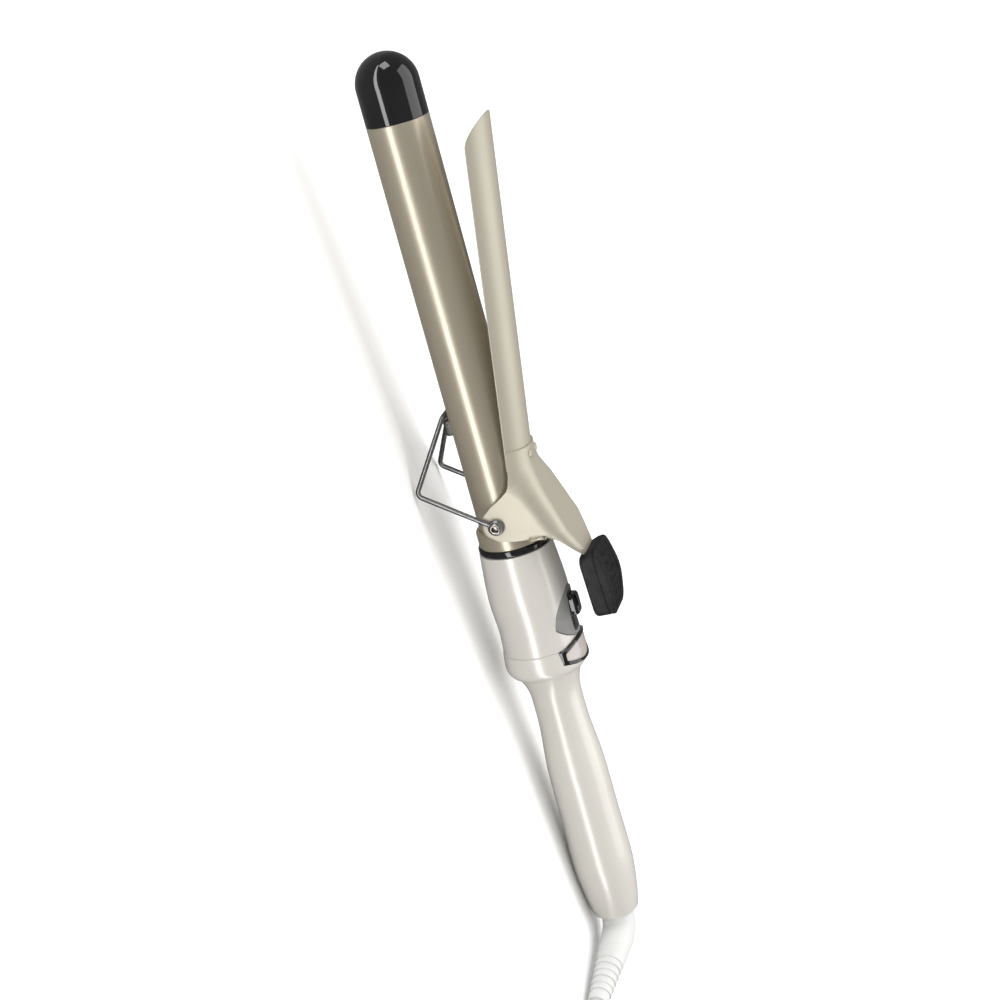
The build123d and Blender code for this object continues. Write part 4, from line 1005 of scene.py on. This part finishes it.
# %% [markdown]
# ## The thumb rest
# A stiff moulding grips the lever's tang, and a rubber skin covers its top, with cross ribs in a shallow recess. Both
# are a stack of loops: a rounded rectangle shrunk towards the middle as the height changes.

# %% Thumb rest
PAD_ANGLE = math.radians(10.5)
PAD_LONG, PAD_WIDE = 14.9, 10.2
PAD_CROWN, CROWN_SPAN = 2.2, 1.35
pad_front = -14.2
FRONT_TO_MIDDLE = 18.1
pad_rise = FRONT_TO_MIDDLE * math.sin(PAD_ANGLE)
pad_middle = np.array([pad_front - PAD_LONG * math.cos(PAD_ANGLE), 0.0, LEVER_TOP - 1.1 + pad_rise])
pad_corners = np.array([(1, -1), (1, 1), (-1, 1), (-1, -1)]) * (PAD_LONG, PAD_WIDE)
pad_outline = evenly(rounded(pad_corners, 4.4, steps=12), 200, closed=True)


def pad_stack(inset, z):
    """Loops of the pad's outline: each is scaled so that its sides move in by the inset, at its height."""
    scale = 1 - np.asarray(inset, float)[:, None, None] / np.array([PAD_LONG, PAD_WIDE])
    xy = pad_outline[None] * np.maximum(scale, 0)
    return np.concatenate([xy, np.broadcast_to(np.asarray(z, float)[:, None, None], xy.shape[:2] + (1,))], -1)


def in_pad(points):
    """From the pad's own axes to the iron's: turned by the pad's angle, then moved to its middle."""
    c, s = math.cos(PAD_ANGLE), math.sin(PAD_ANGLE)
    x, y, z = points[..., 0], points[..., 1], points[..., 2]
    return pad_middle + np.stack([x * c + z * s, y, z * c - x * s], -1)


base_inset = [14.9, 6.0, 1.2, 0.5, 0.15, 0.0, 0.0, 0.0, 0.12, 0.3, 0.3, 6.0, 14.9]
base_z = [-5.0, -5.0, -5.0, -4.8, -4.3, -3.6, -1.0, 1.2, 1.45, 1.5, 1.58, 1.58, 1.58]
base_points = pad_stack(base_inset, base_z)
front_limit = np.interp(base_points[..., 2], [-4.4, 1.6], [12.4, PAD_LONG])
ahead = np.clip(base_points[..., 0], 0, None)
base_points[..., 0] = np.where(base_points[..., 0] > 0, ahead * front_limit / PAD_LONG, base_points[..., 0])
grid_piece("thumb_rest_core", in_pad(base_points), "clamp", ["thumb_rest_base"], "black_rubber", opened=True,
           sharp=70)
rim_inset = [14.9, 6.0, 0.3, 0.3, 0.1, 0.0, 0.0, 0.12, 0.4, 0.8, 1.3, 1.8, 2.2, 2.5, 2.7]
rim_z = [1.6, 1.6, 1.6, 1.66, 1.8, 2.0, 2.9, 3.2, 3.35, 3.4, 3.4, 3.38, 3.25, 2.9, 2.55]
floor_inset = np.linspace(2.8, PAD_LONG, 44)
floor_share = (floor_inset - 2.8) / (PAD_LONG - 2.8)
shell_points = pad_stack(rim_inset, rim_z)
floor_edge = pad_outline * (1 - 2.8 / np.array([PAD_LONG, PAD_WIDE]))
floor_xy = floor_edge[None] * (1 - floor_share)[:, None, None]
rib_places = np.array([-9.0, -5.4, -1.8, 1.8, 5.4, 9.0])
rib = np.exp(-((floor_xy[..., 0, None] - rib_places) / 0.75) ** 4).sum(-1)
inside_floor = np.clip((5.4 - np.abs(floor_xy[..., 1])) / 0.8, 0, 1) * np.clip(floor_share[:, None] * 8, 0, 1)
floor_z = 2.4 + 0.75 * rib * inside_floor
grip_points = np.concatenate([shell_points, np.concatenate([floor_xy, floor_z[..., None]], -1)], 0)
crown = PAD_CROWN * np.cos(grip_points[..., 0] / PAD_LONG * CROWN_SPAN) ** 2
grip_points[..., 2] += np.where(grip_points[..., 2] > 1.7, crown, 0)
grid_piece("thumb_rest_skin", in_pad(grip_points), "clamp", ["thumb_rest_grip"], "black_rubber", opened=True,
           sharp=70)

# %% [markdown]
# ## The wire stand and its catch
# The stand is one bent steel wire with a flattened eye on each rivet. It drops to a foot on either side and runs up
# to a bar behind the barrel, which clips behind a small stop. A circle is carried along the bent path. One fixed
# direction that the path never follows serves for the section's axes all along it.

# %% Stand
WIRE = 2.0
EYE_Y = 16.9


def carried(path, radius, reference, count=20, close_ends=True):
    """A round bar along a path: at each point, radius times (cos a n + sin a b), n and b across the path."""
    heading = unit(np.gradient(path, axis=0))
    n = unit(np.cross(heading, reference))
    b = np.cross(heading, n)
    a = full_turn(count)[None, :, None]
    r = np.broadcast_to(radius, len(path)).copy()[:, None, None]
    tube = path[:, None] + r * (np.cos(a) * n[:, None] + np.sin(a) * b[:, None])
    ends = [np.repeat(path[k][None, None], count, 1) for k in (0, -1)]
    return np.concatenate([ends[0], tube, ends[1]], 0) if close_ends else tube


lean = math.atan2(29.0, 18.6)
reach_in = 2.4
wire_corners = [(reach_in * math.cos(lean), EYE_Y, -reach_in * math.sin(lean)), (18.6, EYE_Y, -29.0),
                (45.5, 5.0, -13.8), (45.5, -5.0, -13.8), (18.6, -EYE_Y, -29.0),
                (reach_in * math.cos(lean), -EYE_Y, -reach_in * math.sin(lean))]
wire_path = rounded(wire_corners, [0, 2.5, 2.5, 2.5, 2.5, 0], steps=14, closed=False)
wire_path = evenly(wire_path, 260)
wire_points = carried(wire_path, WIRE / 2, np.array([0.3, 0.1, 1.0]) / 1.05)
grid_piece("stand_bow", wire_points, "stand", ["stand_wire"], "stand_steel")
a, b = full_turn(56)[:, None], full_turn(20)[None, :]
for word, side in sides.items():
    ring = 2.72 + 0.68 * np.cos(b)
    eye = np.stack(np.broadcast_arrays(ring * np.cos(a), side * EYE_Y + 0.95 * np.sin(b), ring * np.sin(a)), -1)
    grid_piece("stand_eye_" + word, eye, "stand", ["stand_wire"], "stand_steel", wrap_rows=True)
stop_corners = np.array([(1, -1), (1, 1), (-1, 1), (-1, -1)]) * (3.5, 2.5)
stop_outline = evenly(rounded(stop_corners, 0.8), 72, closed=True)
stop_scale = np.array([0, 1, 1, 1, 0.96, 0.86, 0.7, 0.4, 0])[:, None, None]
stop_z = np.array([-12.1, -12.1, -13.0, -14.3, -14.9, -15.25, -15.42, -15.48, -15.5])[:, None, None]
stop_xy = stop_outline[None] * stop_scale + np.array([39.8, 0.0])
stop_points = np.concatenate([stop_xy, np.broadcast_to(stop_z, stop_xy.shape[:2] + (1,))], -1)
grid_piece("stand_stop", stop_points, "iron", ["stand_catch"], "rivet_steel")

# %% [markdown]
# ## Floor and light
# A plain pale floor runs far out of view. The light is a studio's: a pale room, one long thin strip low beside the
# iron that draws the bright line down the barrel, and a broad light over it on the clamp's side. The strip makes only
# reflections, and the room's sun only soft light. Floor and room are dim in reflections, as they are when a product
# stands on a small sheet in a darker room, which keeps the black parts black.

# %% Floor


def floor_material():
    """Diffuse white to the eye and in its light, and a mid grey in mirror reflections."""
    material = bpy.data.materials.new("studio_floor")
    material.use_nodes = True
    nodes, links = material.node_tree.nodes, material.node_tree.links
    nodes.clear()
    pale, dim = nodes.new("ShaderNodeBsdfDiffuse"), nodes.new("ShaderNodeBsdfDiffuse")
    pale.inputs["Color"].default_value = (0.95, 0.95, 0.947, 1)
    dim.inputs["Color"].default_value = (0.14, 0.14, 0.138, 1)
    rays, mix, out = (nodes.new(kind) for kind in ("ShaderNodeLightPath", "ShaderNodeMixShader",
                                                   "ShaderNodeOutputMaterial"))
    links.new(rays.outputs["Is Glossy Ray"], mix.inputs["Fac"])
    links.new(pale.outputs[0], mix.inputs[1])
    links.new(dim.outputs[0], mix.inputs[2])
    links.new(mix.outputs[0], out.inputs["Surface"])
    return material


FLOOR_HALF = 14.0
corners = np.array([(-1, -1, 0), (1, -1, 0), (1, 1, 0), (-1, 1, 0)]) * FLOOR_HALF
floor_mesh = bpy.data.meshes.new("floor")
floor_mesh.from_pydata(corners.tolist(), [], [[0, 1, 2, 3]])
floor_mesh.materials.append(floor_material())
floor = bpy.data.objects.new("floor", floor_mesh)
bpy.context.scene.collection.objects.link(floor)

# %% Lights
world = bpy.data.worlds.new("studio")
bpy.context.scene.world = world
world.use_nodes = True
tree = world.node_tree
background = tree.nodes["Background"]
background.inputs["Color"].default_value = (1.0, 0.995, 0.985, 1)
LIT, MIRRORED, SEEN = 0.74, 0.15, 1.0
rays = tree.nodes.new("ShaderNodeLightPath")
mirrored, strength = tree.nodes.new("ShaderNodeMix"), tree.nodes.new("ShaderNodeMix")
mirrored.inputs[2].default_value, mirrored.inputs[3].default_value = LIT, MIRRORED
strength.inputs[3].default_value = SEEN
tree.links.new(rays.outputs["Is Glossy Ray"], mirrored.inputs["Factor"])
tree.links.new(mirrored.outputs[0], strength.inputs[2])
tree.links.new(rays.outputs["Is Camera Ray"], strength.inputs["Factor"])
tree.links.new(strength.outputs[0], background.inputs["Strength"])


def soft_light(name, place, aim, size, power, tint=(1, 1, 1)):
    """A rectangular light at place that faces aim."""
    data = bpy.data.lights.new(name, "AREA")
    data.shape, data.size, data.size_y = "RECTANGLE", *size
    data.energy, data.color = power, tint
    lamp = bpy.data.objects.new(name, data)
    bpy.context.scene.collection.objects.link(lamp)
    back = unit(np.asarray(place, float) - np.asarray(aim, float))
    side = unit(np.array([1.0, 0, 0]) - back * back[0])
    up = np.cross(back, side)
    lamp.matrix_world = Matrix([[side[k], up[k], back[k], place[k]] for k in range(3)] + [[0, 0, 0, 1]])
    lamp.visible_camera = False
    return lamp


strip_lamp = soft_light("front_strip", (0.0, 0.10, 0.008), (0.0, 0.0, 0.04), (1.6, 0.03), 0.8)
strip_lamp.visible_diffuse = False
soft_light("clamp_side", (0.0, -0.15, 1.1), (0.0, 0.0, 0.05), (1.8, 0.9), 7.5)
soft_light("beyond_tip", (1.3, 0.25, 0.35), (0.15, 0.0, 0.05), (0.5, 0.5), 3.0)
sun = bpy.data.lights.new("room", "SUN")
sun.energy, sun.angle = 1.25, math.radians(120)
sun_lamp = bpy.data.objects.new("room", sun)
bpy.context.scene.collection.objects.link(sun_lamp)
sun_lamp.visible_glossy = False
bpy.context.scene.view_settings.view_transform = "Standard"
